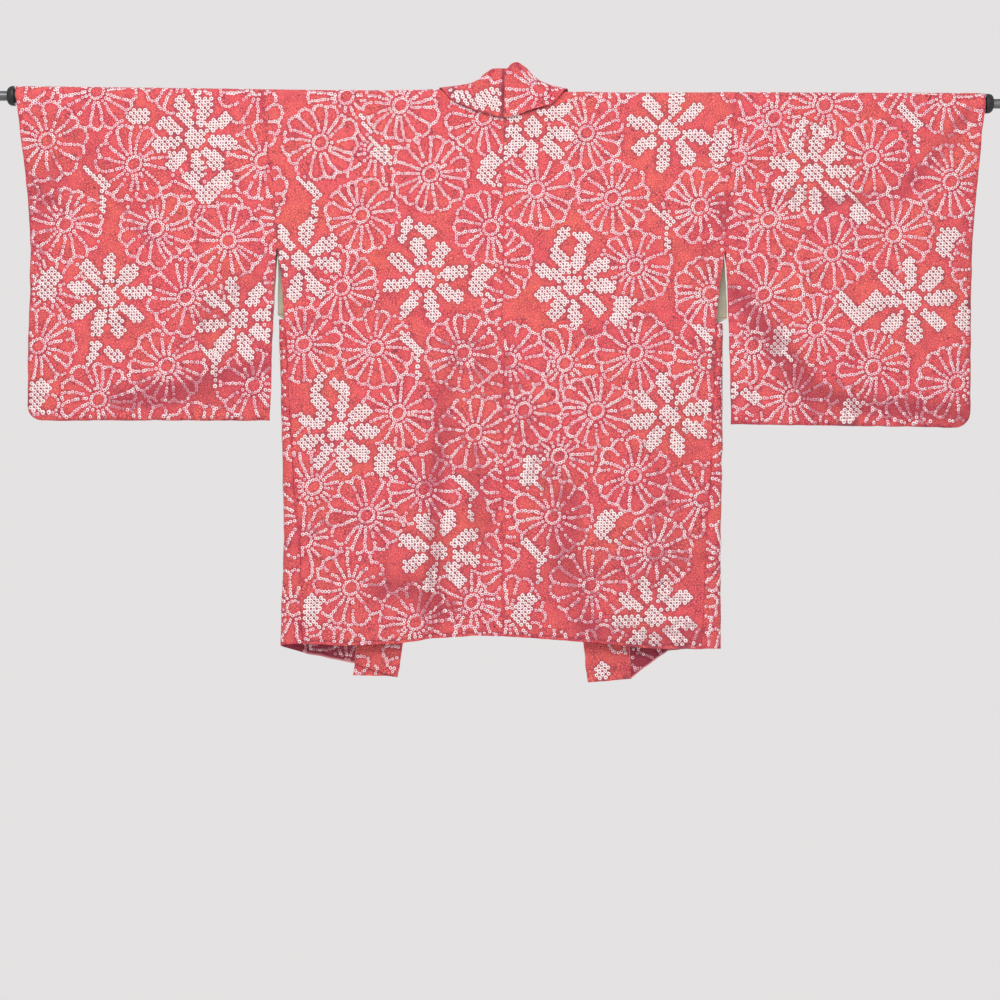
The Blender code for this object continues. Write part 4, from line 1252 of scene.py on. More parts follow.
# %% [markdown]
# ## Leaves and stems
#
# Between the flowers lie small filled shapes: leaves, pairs of leaves, sprays and bent
# stems. Each kind is made of short thick strokes, as a brush would draw it. The places
# are in the flowers' own centimetres.
# %% Leaves and stems
LEAVES = {
    "sleeve_left": (
        ("vee", -39, 12), ("patch", -47.9, 2.7), ("leaf", -59.7, 25), ("pair", -52.5, 34),
        ("leaf", -61, 39.6), ("stem", -37.5, 36), ("bit", -40, 0.4), ("stem", -52.5, 13),
    ),
    "body_left": (
        ("pair", -11.5, 17.5), ("pair", -22.8, 38), ("spray", -16.5, 6.9), ("leaf", -1.8, 9.3),
        ("leaf", -2.8, 24), ("stem", -24.5, 14), ("stem", -10.8, 34.5), ("leaf", -15.2, 47.8),
        ("stem", -3.8, 53), ("leaf", -24.5, 67.5),
    ),
    "body_right": (
        ("pair", 9, 18.3), ("leaf", 28.7, 6), ("leaf", 15.8, 28), ("stem", 27.7, 33), ("leaf", 14, 56),
        ("leaf", 3.3, 67.3), ("stem", 21.8, 17.2), ("stem", 5.3, 61.5), ("leaf", 4.2, 49),
    ),
    "sleeve_right": (
        ("pair", 40.3, 3.8), ("spray", 46.5, 13.9), ("leaf", 58.5, 18.5), ("vee", 47, 27.5),
        ("leaf", 61.2, 28), ("leaf", 37, 31.7), ("pair", 31.5, 39), ("leaf", 46.2, 41.2), ("stem", 54.5, 4),
    ),
    "collar_left": (("band", 3.2, 2.6),),
    "collar_right": (("leaf", 9.3, 1.2),),
}
# Strokes of a leaf in centimetres: from x, y to x, y, and the half width at both ends.
LEAF_STROKES = {
    "band": ((-2.8, -0.7, 0.6, 0.4, 1.4, 1.15), (0.6, 0.4, 2.8, 0.9, 1.15, 0.5)),
    "patch": ((-0.5, 0.0, 0.5, 0.1, 1.0, 1.0),),
    "bit": ((0.1, -0.6, -0.2, 0.5, 0.45, 0.5),),
    "vee": ((-2.5, 1.7, 0.0, -1.2, 0.55, 0.95), (0.0, -1.2, 2.3, 1.4, 0.95, 1.05)),
    "pair": ((-1.7, -1.1, -0.9, 0.9, 0.45, 0.75), (0.7, 0.5, 2.0, -0.2, 0.45, 0.85)),
    "leaf": (
        (0.2, 1.0, -0.5, -0.9, 1.15, 1.05), (0.0, -1.5, 1.6, -2.4, 0.35, 0.15),
        (0.8, 0.8, 1.8, 1.5, 0.5, 0.2),
    ),
    "spray": (
        (0.5, -0.6, 0.9, -1.2, 1.2, 1.0), (0.0, 0.4, -1.5, 3.0, 0.3, 0.22),
        (-1.5, 3.0, -2.2, 4.4, 0.22, 0.4),
    ),
    "stem": (
        (-2.2, 3.3, 0.2, 1.1, 0.35, 0.5), (0.2, 1.1, -0.2, 0.2, 0.4, 0.3),
        (-0.2, 0.2, 0.0, -2.2, 0.22, 0.35),
    ),
}
print(sum(len(places) for places in LEAVES.values()), "leaves and stems of", len(LEAF_STROKES), "kinds")

# %% [markdown]
# ## An outlined flower
#
# An outlined flower is a ring, lines that lean out from it, and an arc from the end of
# each line to the next. Two petals share the line between them. There is a dot every
# four or five millimetres, and no two flowers are alike, as on hand-tied cloth.
# %% An outlined flower
LINE_SPACING = 0.0043
RING_RADIUS = 0.0094
RING_DOTS = 14
OUTLINE_PETALS = (15, 18)   # from, and up to but without
OUTLINE_REACH = (0.05, 0.0555)
UNEVEN = (0.7, 1.3)         # widths of petals beside each other
LINE_END = (0.78, 0.86)     # of the reach, where the arcs begin
SWIRL = 0.22                # radians that a whole flower may turn on its way out
STRAY = 0.07                # and one line alone
PETAL_START = 0.0152
TIP_DEPTH = 0.46            # of the arc round a petal's tip, as a share of its width
SPACING_VARIES = (0.94, 1.1)
SKIPPED = 0.035             # share of dots that the tyer left out of a line


def dots_on_line(points, spacing):
    points = np.array(points)
    lengths = np.concatenate([[0.0], np.cumsum(np.linalg.norm(np.diff(points, axis=0), axis=1))])
    count = max(round(lengths[-1] / spacing), 1)
    at = np.linspace(0.0, lengths[-1], count + 1)
    return np.column_stack([np.interp(at, lengths, points[:, k]) for k in (0, 1)])


def polar(radius, angle):
    return np.column_stack([radius * np.cos(angle), radius * np.sin(angle)])


def petal_tip(start, end):
    """An arc that bulges away from the flower's middle, from one line's end to the next."""
    middle = 0.5 * (start + end)
    width = float(np.linalg.norm(end - start))
    outward = middle / np.linalg.norm(middle)
    turn = np.linspace(0.0, math.pi, 9)[:, None]
    return middle - 0.5 * (end - start) * np.cos(turn) + TIP_DEPTH * width * np.sin(turn) * outward


def outlined_flower(rng):
    petals = int(rng.integers(*OUTLINE_PETALS))
    reach = rng.uniform(*OUTLINE_REACH)
    shares = rng.uniform(*UNEVEN, petals)
    angles = rng.uniform(0.0, math.tau) + np.cumsum(math.tau * shares / shares.sum())
    swirl = rng.uniform(-SWIRL, SWIRL)
    lines = []
    for angle in angles:
        r = np.linspace(PETAL_START, reach * rng.uniform(*LINE_END), 7)
        lines.append(polar(r, angle + (swirl + rng.uniform(-STRAY, STRAY)) * (r / reach) ** 2))
    tips = [petal_tip(line[-1], after[-1]) for line, after in zip(lines, lines[1:] + lines[:1])]
    ring = polar(RING_RADIUS, np.linspace(0.0, math.tau, RING_DOTS + 1)[:-1])
    parts = [ring]
    for points, first in [(line, 0) for line in lines] + [(tip, 1) for tip in tips]:
        line_dots = dots_on_line(points, LINE_SPACING * rng.uniform(*SPACING_VARIES))[first:]
        parts.append(line_dots[rng.random(len(line_dots)) > SKIPPED])
    return np.vstack(parts)


print("one outlined flower:", len(outlined_flower(np.random.default_rng(0))), "dots")

# %% [markdown]
# ## Filled shapes
#
# A filled shape keeps the points of a slanting lattice that fall inside it. The tyer
# follows the weave, so all rows of packed dots slant the same way. A petal is blunt: its
# outline lies between an ellipse and a rectangle.
# %% Filled shapes
LATTICE_ALONG = 0.0052
LATTICE_ACROSS = 0.0057
LATTICE_STEPS = 12
LATTICE_SHIFT = 0.002
FILLED_PETALS = (8, 10)     # from, and up to but without
MIDDLE_RADIUS = 0.0127      # of a filled flower
PETAL_MIDDLE = 0.0365       # from the flower's middle
PETAL_HALF_LENGTH = (0.018, 0.0212)
PETAL_HALF_WIDTH = (0.0082, 0.0094)
PETAL_TURN = 0.06           # radians that a petal may lean to one side
PETAL_BLUNTNESS = 2.5       # 2 would be an ellipse
PETAL_TAPER = 0.17          # how much wider its outer end is than its middle


def slanting_lattice(rng):
    slant = math.sqrt(0.5)
    steps = np.arange(-LATTICE_STEPS, LATTICE_STEPS + 1)
    along, across = np.meshgrid(steps * LATTICE_ALONG, steps * LATTICE_ACROSS)
    x = (slant * (along + across)).ravel() + rng.uniform(-LATTICE_SHIFT, LATTICE_SHIFT)
    y = (slant * (across - along)).ravel() + rng.uniform(-LATTICE_SHIFT, LATTICE_SHIFT)
    return x, y


def filled_flower(rng):
    """Lattice points inside a round middle and eight or nine long blunt petals."""
    x, y = slanting_lattice(rng)
    inside = np.hypot(x, y) < MIDDLE_RADIUS
    petals = int(rng.integers(*FILLED_PETALS))
    first = rng.uniform(0.0, math.tau)
    for petal in range(petals):
        angle = first + math.tau * petal / petals + rng.uniform(-PETAL_TURN, PETAL_TURN)
        half_length = rng.uniform(*PETAL_HALF_LENGTH)
        r = x * math.cos(angle) + y * math.sin(angle) - PETAL_MIDDLE
        w = y * math.cos(angle) - x * math.sin(angle)
        taper = 1.0 + PETAL_TAPER * np.clip(r / half_length, -1.0, 1.0)
        half_width = rng.uniform(*PETAL_HALF_WIDTH) * taper
        inside |= np.abs(r / half_length) ** PETAL_BLUNTNESS + np.abs(w / half_width) ** PETAL_BLUNTNESS < 1.0
    return np.column_stack([x, y])[inside]


def filled_leaf(name, rng):
    """Lattice points inside any of the leaf's strokes."""
    x, y = slanting_lattice(rng)
    inside = np.zeros(len(x), bool)
    for stroke in LEAF_STROKES[name]:
        x0, y0, x1, y1, r0, r1 = (value * CM for value in stroke)
        t = ((x - x0) * (x1 - x0) + (y - y0) * (y1 - y0)) / math.hypot(x1 - x0, y1 - y0) ** 2
        t = np.clip(t, 0.0, 1.0)
        away = np.hypot(x - x0 - t * (x1 - x0), y - y0 - t * (y1 - y0))
        inside |= away < r0 + (r1 - r0) * t
    return np.column_stack([x, y])[inside]


print("one filled flower:", len(filled_flower(np.random.default_rng(0))), "dots")

# %% [markdown]
# ## A field of dots
#
# Each outlined flower covers what comes after it, so that flowers overlap like scales. A
# dot strays a little from its line and is kept only where it has room. Small squares save
# looking at all the earlier dots.
# %% A field of dots
OUTLINE, FILLED = 0, 1
SQUARE = 0.006
SHAKE = 0.00055             # how far a dot strays
SHAKE_TURNS = 7919.0        # so large that the sine jumps from dot to dot
DISC_SHARE = 0.98           # of a flower's reach, which it covers
LARGEST_REACH = 0.06
ROOM = {OUTLINE: 0.003, FILLED: 0.0036}
MIXED_ROOM = 0.005          # between dots of the two kinds


class DotField:
    """Dots on one flat panel, in squares so that neighbours are found quickly."""

    def __init__(self):
        self.squares = {}
        self.dots = []
        self.discs = []

    def has_room(self, x, s, kind):
        column, row = int(x // SQUARE), int(s // SQUARE)
        for i in (column - 1, column, column + 1):
            for j in (row - 1, row, row + 1):
                for other_x, other_s, other_kind in self.squares.get((i, j), ()):
                    room = ROOM[kind] if kind == other_kind else MIXED_ROOM
                    if math.hypot(x - other_x, s - other_s) < room:
                        return False
        return True

    def add(self, centre, shape, kind, disc):
        covered = [
            (x, s, r) for x, s, r in self.discs
            if math.hypot(x - centre[0], s - centre[1]) < r + LARGEST_REACH
        ]
        shaken = shape + SHAKE * np.sin(SHAKE_TURNS * shape[:, ::-1] / SHAKE)
        for x, s in shaken + np.array(centre):
            if kind == OUTLINE and any(math.hypot(x - cx, s - cs) < r for cx, cs, r in covered):
                continue
            if self.has_room(x, s, kind):
                self.squares.setdefault((int(x // SQUARE), int(s // SQUARE)), []).append((x, s, kind))
                self.dots.append((x, s, kind))
        if disc:
            reach = float(np.linalg.norm(shape, axis=1).max())
            self.discs.append((centre[0], centre[1], reach * DISC_SHARE))


print("dots in a line stand at least", ROOM[OUTLINE], "m apart")

# %% [markdown]
# ## All the dots of a panel
#
# The design repeats along the bolt, so the front of a panel gets the places of the
# opposite panel's back, mirrored. Gussets and the collar's ends get random places from a
# fixed seed, and so do gaps that are left. Filled shapes go down first.
# %% All the dots of a panel
FILL_CLEAR = (0.092, 0.082, 0.074, 0.067)
TRIES = 1500
PAST_EDGE = 0.03            # a flower's middle may lie this far off the cloth
FILLED_EVERY = 5            # of the collar's random flowers


def opposite(name):
    return name.replace("left", "right") if name.endswith("left") else name.replace("right", "left")


def places_on(name, table):
    """A table's places on the flat cloth of a panel, with the opposite panel's mirrored."""
    if name.startswith("collar"):
        top = float(panels[name].s.max())
        return [(x * CM, top - up * CM) for *_, x, up in table.get(name, ())]
    back = [(x * CM, -(HALF_ARC + drop * CM)) for *_, x, drop in table.get(name, ())]
    return back + [(-x * CM, HALF_ARC + drop * CM) for *_, x, drop in table.get(opposite(name), ())]


def free_centres(box, taken, clearances, rng):
    """Random centres that keep clear of all others; later ones may overlap more."""
    centres = []
    for clear in clearances:
        for _ in range(TRIES):
            place = tuple(rng.uniform(low - PAST_EDGE, high + PAST_EDGE) for low, high in box)
            if all(math.hypot(place[0] - a, place[1] - b) > clear for a, b in taken + centres):
                centres.append(place)
    return centres


def panel_field(name, box, seed):
    rng = np.random.default_rng(seed)
    field = DotField()
    filled = places_on(name, FILLED_FLOWERS)
    outlined = places_on(name, OUTLINED_FLOWERS)
    collar = name.startswith("collar")
    clearances = FILL_CLEAR[:1] if collar else FILL_CLEAR
    for number, centre in enumerate(free_centres(box, filled + outlined, clearances, rng)):
        fills = collar and number % FILLED_EVERY == FILLED_EVERY // 2
        (filled if fills else outlined).append(centre)
    for centre in filled:
        field.add(centre, filled_flower(rng), FILLED, False)
    kinds = [leaf for leaf, *_ in (*LEAVES.get(name, ()), *LEAVES.get(opposite(name), ()))]
    for leaf, place in zip(kinds, places_on(name, LEAVES)):
        field.add(place, filled_leaf(leaf, rng), FILLED, False)
    for centre in outlined:
        field.add(centre, outlined_flower(rng), OUTLINE, True)
    return field


fields = {}
for seed, panel in enumerate(panels.values()):
    box = [(float(places.min()), float(places.max())) for places in (panel.x, panel.s)]
    fields[panel.name] = panel_field(panel.name, box, 100 + seed)
    print(panel.name, len(fields[panel.name].dots), "dots before clipping")

# %% [markdown]
# ## Dots on the hanging cloth
#
# A ray dropped on the flat panel finds the face under a dot, and the dot keeps its place
# within that face on the hanging cloth. Dots too near an edge are left out, because a
# seam would lie on them, and so are dots on a sharp fold, where they would stick out.
# %% Dots on the hanging cloth
EDGE_MARGIN = {OUTLINE: 0.0021, FILLED: 0.003}
FLAT_ENOUGH = 0.8           # cosine between the cloth's directions at a dot and beside it


def dots_in_space(panel, dots, wrong_side=False):
    """Points, facings, kinds and shades of the dots that lie on the panel."""
    flat = [Vector((x, s, 0.0)) for x, s in zip(panel.x.ravel(), panel.s.ravel())]
    space = [Vector(point) for point in panel.space.reshape(-1, 3)]
    normals = [Vector(normal) for normal in panel.normal.reshape(-1, 3)]
    triangles = np.vstack([panel.faces[:, :3], panel.faces[:, [0, 2, 3]]]).tolist()
    tree = BVHTree.FromPolygons(flat, triangles)
    down = Vector((0.0, 0.0, -1.0))
    around = [Vector((a, b, 0.0)) for a, b in ((1, 0), (-1, 0), (0, 1), (0, -1))]
    collar = panel.name.startswith("collar")
    lift = 0.5 * panel.cloth if collar else panel.cloth
    shade = panel.shade.ravel()
    points, facings, kinds, shades = [], [], [], []
    for x, s, kind in dots:
        above = Vector((x, s, 1.0))
        hit, _, index, _ = tree.ray_cast(above, down)
        beside = [tree.ray_cast(above + step * EDGE_MARGIN[kind], down)[2] for step in around]
        if hit is None or None in beside:
            continue
        a, b, c = triangles[index]
        if any(normals[a].dot(normals[triangles[other][0]]) < FLAT_ENOUGH for other in beside):
            continue
        corners = (flat[a], flat[b], flat[c])
        point = barycentric_transform(hit, *corners, space[a], space[b], space[c])
        normal = barycentric_transform(hit, *corners, normals[a], normals[b], normals[c]).normalized()
        if wrong_side:
            points.append(point - normal * (lift if collar else 0.0))
            facings.append(-normal)
        else:
            points.append(point + normal * lift)
            facings.append(normal)
        kinds.append(kind)
        shades.append(float(shade[a]))
    return points, facings, kinds, shades


placed = {name: dots_in_space(panels[name], fields[name].dots) for name in panels}
print(sum(len(points) for points, *_ in placed.values()), "dots on the right side")

# %% [markdown]
# ## Dots on the wrong side
#
# Below the back's hem the fronts hang a little lower, and the wrong side of their facing
# shows there, and of the collar's ends. Both are the jacket's own silk, so they get dots
# too, in the shaded finish, since they lie in the dark.
# %% Dots on the wrong side
DOTTED_FACING = 0.075       # how far up the collar's ends are dotted
FACING_SHADE, COLLAR_END_SHADE = 0.85, 0.2
FACING_FLOWERS = {
    "left": ((-26.5, 72.5), (-20.0, 75.0), (-14.0, 71.0)),
    "right": ((22.5, 74.5), (27.5, 69.0), (15.5, 73.0)),
}
for seed, side in enumerate(SIDES):
    body, collar = "body_" + side, "collar_" + side
    rng = np.random.default_rng(300 + seed)
    facing = DotField()
    for x, drop in FACING_FLOWERS[side]:
        facing.add((x * CM, HALF_ARC + drop * CM), outlined_flower(rng), OUTLINE, True)
    points, facings, kinds, _ = dots_in_space(panels[body], facing.dots, wrong_side=True)
    placed["facing_" + side] = (points, facings, kinds, [FACING_SHADE] * len(points))
    low = [dot for dot in fields[collar].dots if dot[0] > panels[collar].x.max() - DOTTED_FACING]
    points, facings, kinds, _ = dots_in_space(panels[collar], low, wrong_side=True)
    placed["collar_end_" + side] = (points, facings, kinds, [COLLAR_END_SHADE] * len(points))
print({name: len(points) for name, (points, *_) in placed.items()}, "dots")

# %% [markdown]
# ## Painted shade from the dots
#
# For each point of a grid, the distances to the nearest outlined and filled dots become
# shares from 0 to 1, red and green of an attribute: painted shade of the puckered cloth
# round the dots. Blue is the painted shade of the fold, and alpha is above 0 on the dark
# line along a hem's groove or the collar's centre seam, and below 0 on the hem's rolled
# edge, where a highlight is painted.
# %% Painted shade from the dots
LINE_DOT_SHADE_REACH = 0.0042
PACKED_DOT_SHADE_REACH = 0.0046
STEEPNESS = 1.8             # the painted shade is at its full strength well before the dot


def near_dots(panel, dots, reach):
    share = np.zeros(panel.x.size)
    if not dots:
        return share
    tree = KDTree(len(dots))
    for number, (x, s, _) in enumerate(dots):
        tree.insert((x, s, 0.0), number)
    tree.balance()
    for number, (x, s) in enumerate(zip(panel.x.ravel(), panel.s.ravel())):
        share[number] = 1.0 - tree.find((x, s, 0.0))[2] / reach
    return np.clip(share * STEEPNESS, 0.0, 1.0)


# Red and green: painted shade round the outlined and the packed dots.
def painted_light_and_seams_of(panel):
    dots = fields[panel.name].dots
    line_dot_shade = near_dots(panel, [dot for dot in dots if dot[2] == OUTLINE], LINE_DOT_SHADE_REACH)
    packed = near_dots(panel, [dot for dot in dots if dot[2] == FILLED], PACKED_DOT_SHADE_REACH)
    return np.column_stack([line_dot_shade, packed, panel.shade.ravel(), panel.hem_line.ravel()])


painted_lights_and_seams = {name: painted_light_and_seams_of(panel) for name, panel in panels.items()}
# The share printed is of painted shade round the outlined dots.
for name, dye in painted_lights_and_seams.items():
    print(name, "has", round(100.0 * dye[:, 0].mean()), "% of its cloth in the dots' dye")

# %% [markdown]
# ## Words for nodes
#
# A finish is a material: one Principled shader with a tree of small nodes before it.
# These classes give each common node a short word, so that a recipe reads from top to
# bottom. A ramp may run downwards: then it is 1 below and 0 above.
# %% Words for nodes
class Nodes:
    """A tree to which nodes are added, linked to sockets or set to values."""

    def __init__(self, tree, prefix=""):
        self.tree = tree
        self.prefix = prefix

    def node(self, kind, **inputs):
        node = self.tree.nodes.new(self.prefix + kind)
        for name, value in inputs.items():
            self.feed(node.inputs[name.replace("_", " ")], value)
        return node

    def feed(self, socket, value):
        if isinstance(value, bpy.types.NodeSocket):
            self.tree.links.new(value, socket)
        else:
            socket.default_value = value


class Finish(Nodes):
    """A material with one Principled shader."""

    def __init__(self, name, colour, roughness):
        self.material = bpy.data.materials.new(name)
        self.material.use_nodes = True
        super().__init__(self.material.node_tree, "ShaderNode")
        self.shader = self.tree.nodes["Principled BSDF"]
        self.surface(Base_Color=colour + (1.0,), Roughness=roughness)

    def places(self, uv_map=None):
        if uv_map is None:
            return self.node("TexCoord").outputs["Object"]
        node = self.node("UVMap")
        node.uv_map = uv_map
        return node.outputs["UV"]

    def noise(self, places, size, detail=2.0):
        """Noise from 0 to 1 whose blotches are about this many metres across."""
        return self.node("TexNoise", Vector=places, Scale=0.5 / size, Detail=detail).outputs["Fac"]

    def ramp(self, value, low, high):
        """0 below low, 1 above high and a straight run between."""
        node = self.node("MapRange", Value=value, From_Min=low, From_Max=high)
        return node.outputs["Result"]

    def maths(self, operation, *values):
        node = self.node("Math")
        node.operation = operation
        for socket, value in zip(node.inputs, values):
            self.feed(socket, value)
        return node.outputs["Value"]

    def times(self, first, second):
        return self.maths("MULTIPLY", first, second)

    def surface(self, **inputs):
        for name, value in inputs.items():
            self.feed(self.shader.inputs[name.replace("_", " ")], value)

    def mix(self, share, first, second):
        node = self.node("Mix")
        node.data_type = "RGBA"
        for number, value in ((0, share), (6, first), (7, second)):
            self.feed(node.inputs[number], value + (1.0,) if isinstance(value, tuple) else value)
        return node.outputs[2]

    def bump(self, height, distance):
        node = self.node("Bump", Height=height, Distance=distance)
        self.surface(Normal=node.outputs["Normal"])


print("words:", ", ".join(word for word in vars(Finish) if not word.startswith("_")))

# %% [markdown]
# ## Tie-dyed silk
#
# The ground is never one red. The vat leaves slow drifts from coral to orange and random
# patches of crimson. Round the dots lies painted shade of the puckered cloth: crimson round
# the outlined petals, plum between the packed dots. A fine net of creases from a thousand
# pinches runs over everything, with painted shade in its lines. Painted shade also darkens
# the low back, the folds and any turned-in facing, and a highlight is painted on a facing's
# rolled hem edge. The "flat" map makes the pattern follow the cloth, and an attribute tells
# how near each point is to either kind of dot.
# %% Tie-dyed silk
CORAL = (0.96, 0.122, 0.138)
ORANGE = (0.99, 0.158, 0.126)
# Crimson is the dye's deeper tone in random patches, and painted shade round the outlined dots.
CRIMSON = (0.6, 0.032, 0.078)
# Painted shade between the packed dots.
PLUM = (0.27, 0.04, 0.07)
# Painted shade in the net's crease lines; also the dark seam lines of the hems' grooves and the collar.
CREASE_SHADE_AND_SEAM_LINE = (0.2, 0.008, 0.036)
# Painted highlight on a facing's rolled hem edge.
ROLLED_EDGE_HIGHLIGHT = (0.9, 0.42, 0.45)
# Painted shade: low on the back, in folds and creases, and over a turned-in facing.
PAINTED_SHADE_COLOUR = (0.33, 0.018, 0.048)
NET_SCALE = 310.0           # meshes of the net in a metre, about
NET_WANDER = 0.0035         # how far its threads stray
LOW_BACK = (-0.26, -0.64)   # heights between which the shadow grows
LOW_SHADE = 0.08
TROUGH_SHADE = 0.62


def tie_dyed(name, depth, edge_highlight):
    """The jacket's own silk; the second argument, 0 to 1, paints shade all over it, and the third, 0 to 1,
    paints a highlight on the rolled edges of its hems.
    """
    finish = Finish(name, CORAL, 0.58)
    flat = finish.places("flat")
    drift = finish.ramp(finish.noise(flat, 0.035, 3.0), 0.38, 0.66)
    ground = finish.mix(drift, CORAL, ORANGE)
    pooled = finish.ramp(finish.noise(flat, 0.012, 3.0), 0.5, 0.8)
    ground = finish.mix(finish.times(pooled, 0.4), ground, CRIMSON)

    shaken = finish.node("VectorMath")
    shaken.operation = "MULTIPLY_ADD"
    wander = finish.node("TexNoise", Vector=flat, Scale=130.0, Detail=1.0).outputs["Color"]
    finish.feed(shaken.inputs[0], wander)
    shaken.inputs[1].default_value = (NET_WANDER, NET_WANDER, 0.0)
    finish.feed(shaken.inputs[2], flat)
    net = finish.node("TexVoronoi", Vector=shaken.outputs["Vector"], Scale=NET_SCALE)
    net.feature = "DISTANCE_TO_EDGE"
    line = finish.ramp(net.outputs["Distance"], 0.13, 0.02)
    patchy = finish.ramp(finish.noise(flat, 0.009, 2.0), 0.42, 0.62)

    dye = finish.node("Attribute")
    dye.attribute_name = "dye"
    near = finish.node("SeparateColor", Color=dye.outputs["Color"])
    line_dot_shade, packed, trough = (near.outputs[k] for k in ("Red", "Green", "Blue"))
    # Painted shade: the net's crease lines, darker near the outlined dots, crimson round the outlined dots
    # and plum between the packed ones.
    strength = finish.maths("MULTIPLY_ADD", patchy, 0.45, 0.48)
    strength = finish.maths("MAXIMUM", strength, finish.times(line_dot_shade, 0.95))
    colour = finish.mix(finish.times(line_dot_shade, 0.7), ground, CRIMSON)
    colour = finish.mix(finish.times(line, strength), colour, CREASE_SHADE_AND_SEAM_LINE)
    colour = finish.mix(finish.times(packed, 0.92), colour, PLUM)
    # Painted shade, darker towards the bottom, over all of a shaded copy and in folds and creases.
    low = finish.node("SeparateXYZ", Vector=finish.places()).outputs["Z"]
    shade = finish.times(finish.ramp(low, *LOW_BACK), LOW_SHADE)
    shade = finish.maths("ADD", shade, depth)
    shade = finish.maths("MAXIMUM", shade, finish.times(trough, TROUGH_SHADE))
    colour = finish.mix(shade, colour, PAINTED_SHADE_COLOUR)
    colour = finish.mix(finish.ramp(dye.outputs["Alpha"], 0.0, 1.2), colour, CREASE_SHADE_AND_SEAM_LINE)
    # Painted highlight on the rolled hem edge, where alpha is below 0.
    worn = finish.times(finish.ramp(dye.outputs["Alpha"], 0.0, -1.0), edge_highlight)
    colour = finish.mix(worn, colour, ROLLED_EDGE_HIGHLIGHT)
    finish.surface(Base_Color=colour, Sheen_Weight=0.1, Sheen_Roughness=0.5)
    weave = finish.noise(flat, 0.0006, 1.0)
    height = finish.times(weave, 0.3)
    height = finish.maths("ADD", finish.ramp(net.outputs["Distance"], 0.0, 0.35), height)
    finish.bump(height, 0.0007)
    rough = finish.ramp(finish.noise(flat, 0.004, 2.0), 0.0, 1.0)
    finish.surface(Roughness=finish.maths("MULTIPLY_ADD", rough, 0.25, 0.45))
    return finish.material


shibori_silk = tie_dyed("shibori_silk", 0.0, 0.0)
# The turned-in facing is a copy with painted shade all over, as it lies in the dark inside, and a painted
# highlight on its rolled hem edge.
facing_silk = tie_dyed("facing_silk", 0.88, 0.8)
print("tie-dyed silk has", len(shibori_silk.node_tree.nodes), "nodes")

# %% [markdown]
# ## Lining, plastic and metal
#
# The lining is a plain cream silk with fine ribs and slow drifts of wear. The rod's black
# plastic is satin, with faint dusty marks. Its grey metal ends are brushed: the marks are
# drawn out along the rod.
# %% Lining, plastic and metal
def smooth_silk(name, colour, worn):
    """Plain woven silk with fine ribs and slow drifts towards a worn colour."""
    finish = Finish(name, colour, 0.5)
    flat = finish.places("flat")
    drift = finish.ramp(finish.noise(flat, 0.012, 3.0), 0.35, 0.7)
    rough = finish.maths("MULTIPLY_ADD", drift, 0.2, 0.42)
    finish.surface(Base_Color=finish.mix(drift, colour, worn), Roughness=rough)
    finish.bump(finish.noise(flat, 0.0005, 1.0), 0.0003)
    return finish.material


def satin(name, colour, dusty, roughness, metallic, stretch):
    """Plastic or brushed metal; stretch draws the marks out along the rod's axis."""
    finish = Finish(name, colour, roughness)
    drawn = finish.node("VectorMath", Vector=finish.places())
    drawn.operation = "MULTIPLY"
    drawn.inputs[1].default_value = (1.0 / stretch, 1.0, 1.0)
    marks = finish.noise(drawn.outputs["Vector"], 0.0012, 3.0)
    dusted = finish.mix(finish.ramp(marks, 0.42, 0.75), colour, dusty)
    rough = finish.maths("MULTIPLY_ADD", marks, 0.3, roughness - 0.1)
    finish.surface(Base_Color=dusted, Roughness=rough, Metallic=metallic)
    finish.bump(marks, 0.0001)
    return finish.material


lining_silk = smooth_silk("lining_silk", (0.61, 0.57, 0.43), (0.55, 0.5, 0.37))
black_plastic = satin("black_plastic", (0.015, 0.016, 0.018), (0.034, 0.034, 0.036), 0.38, 0.0, 1.0)
grey_metal = satin("grey_metal", (0.16, 0.165, 0.175), (0.24, 0.245, 0.25), 0.34, 0.9, 12.0)
for material in (lining_silk, black_plastic, grey_metal):
    print(material.name, "has", len(material.node_tree.nodes), "nodes")

# %% [markdown]
# ## Finishes of the dots
#
# A tied dot is too small to show a pattern: the thread kept the dye out, and the undyed
# silk is one pale colour. So variety comes from dot to dot. Each ring is white, pink or
# cream, and each tip is stained. Shaded rings are copies with painted shade, for dots that
# lie in a fold or in the dark.
# %% Finishes of the dots
DOT_ROUGHNESS = 0.6


def dot_finish(name, *colour):
    return Finish(name, colour, DOT_ROUGHNESS).material


white_ring = dot_finish("white_ring", 0.98, 0.82, 0.83)
pink_ring = dot_finish("pink_ring", 0.95, 0.6, 0.67)
packed_ring = dot_finish("packed_ring", 0.95, 0.8, 0.81)
cream_ring = dot_finish("cream_ring", 0.94, 0.79, 0.77)
shaded_ring = dot_finish("shaded_ring", 0.66, 0.3, 0.35)
shaded_packed_ring = dot_finish("shaded_packed_ring", 0.74, 0.56, 0.57)
crimson_tip = dot_finish("crimson_tip", 0.3, 0.02, 0.06)
plum_tip = dot_finish("plum_tip", 0.15, 0.06, 0.085)
DOT_FINISHES = (            # ring, tip and whether such dots are packed
    (white_ring, crimson_tip, False),
    (pink_ring, crimson_tip, False),
    (packed_ring, plum_tip, True),
    (cream_ring, plum_tip, True),
    (shaded_ring, crimson_tip, False),
    (shaded_packed_ring, plum_tip, True),
)
print(len(DOT_FINISHES), "kinds of dots")

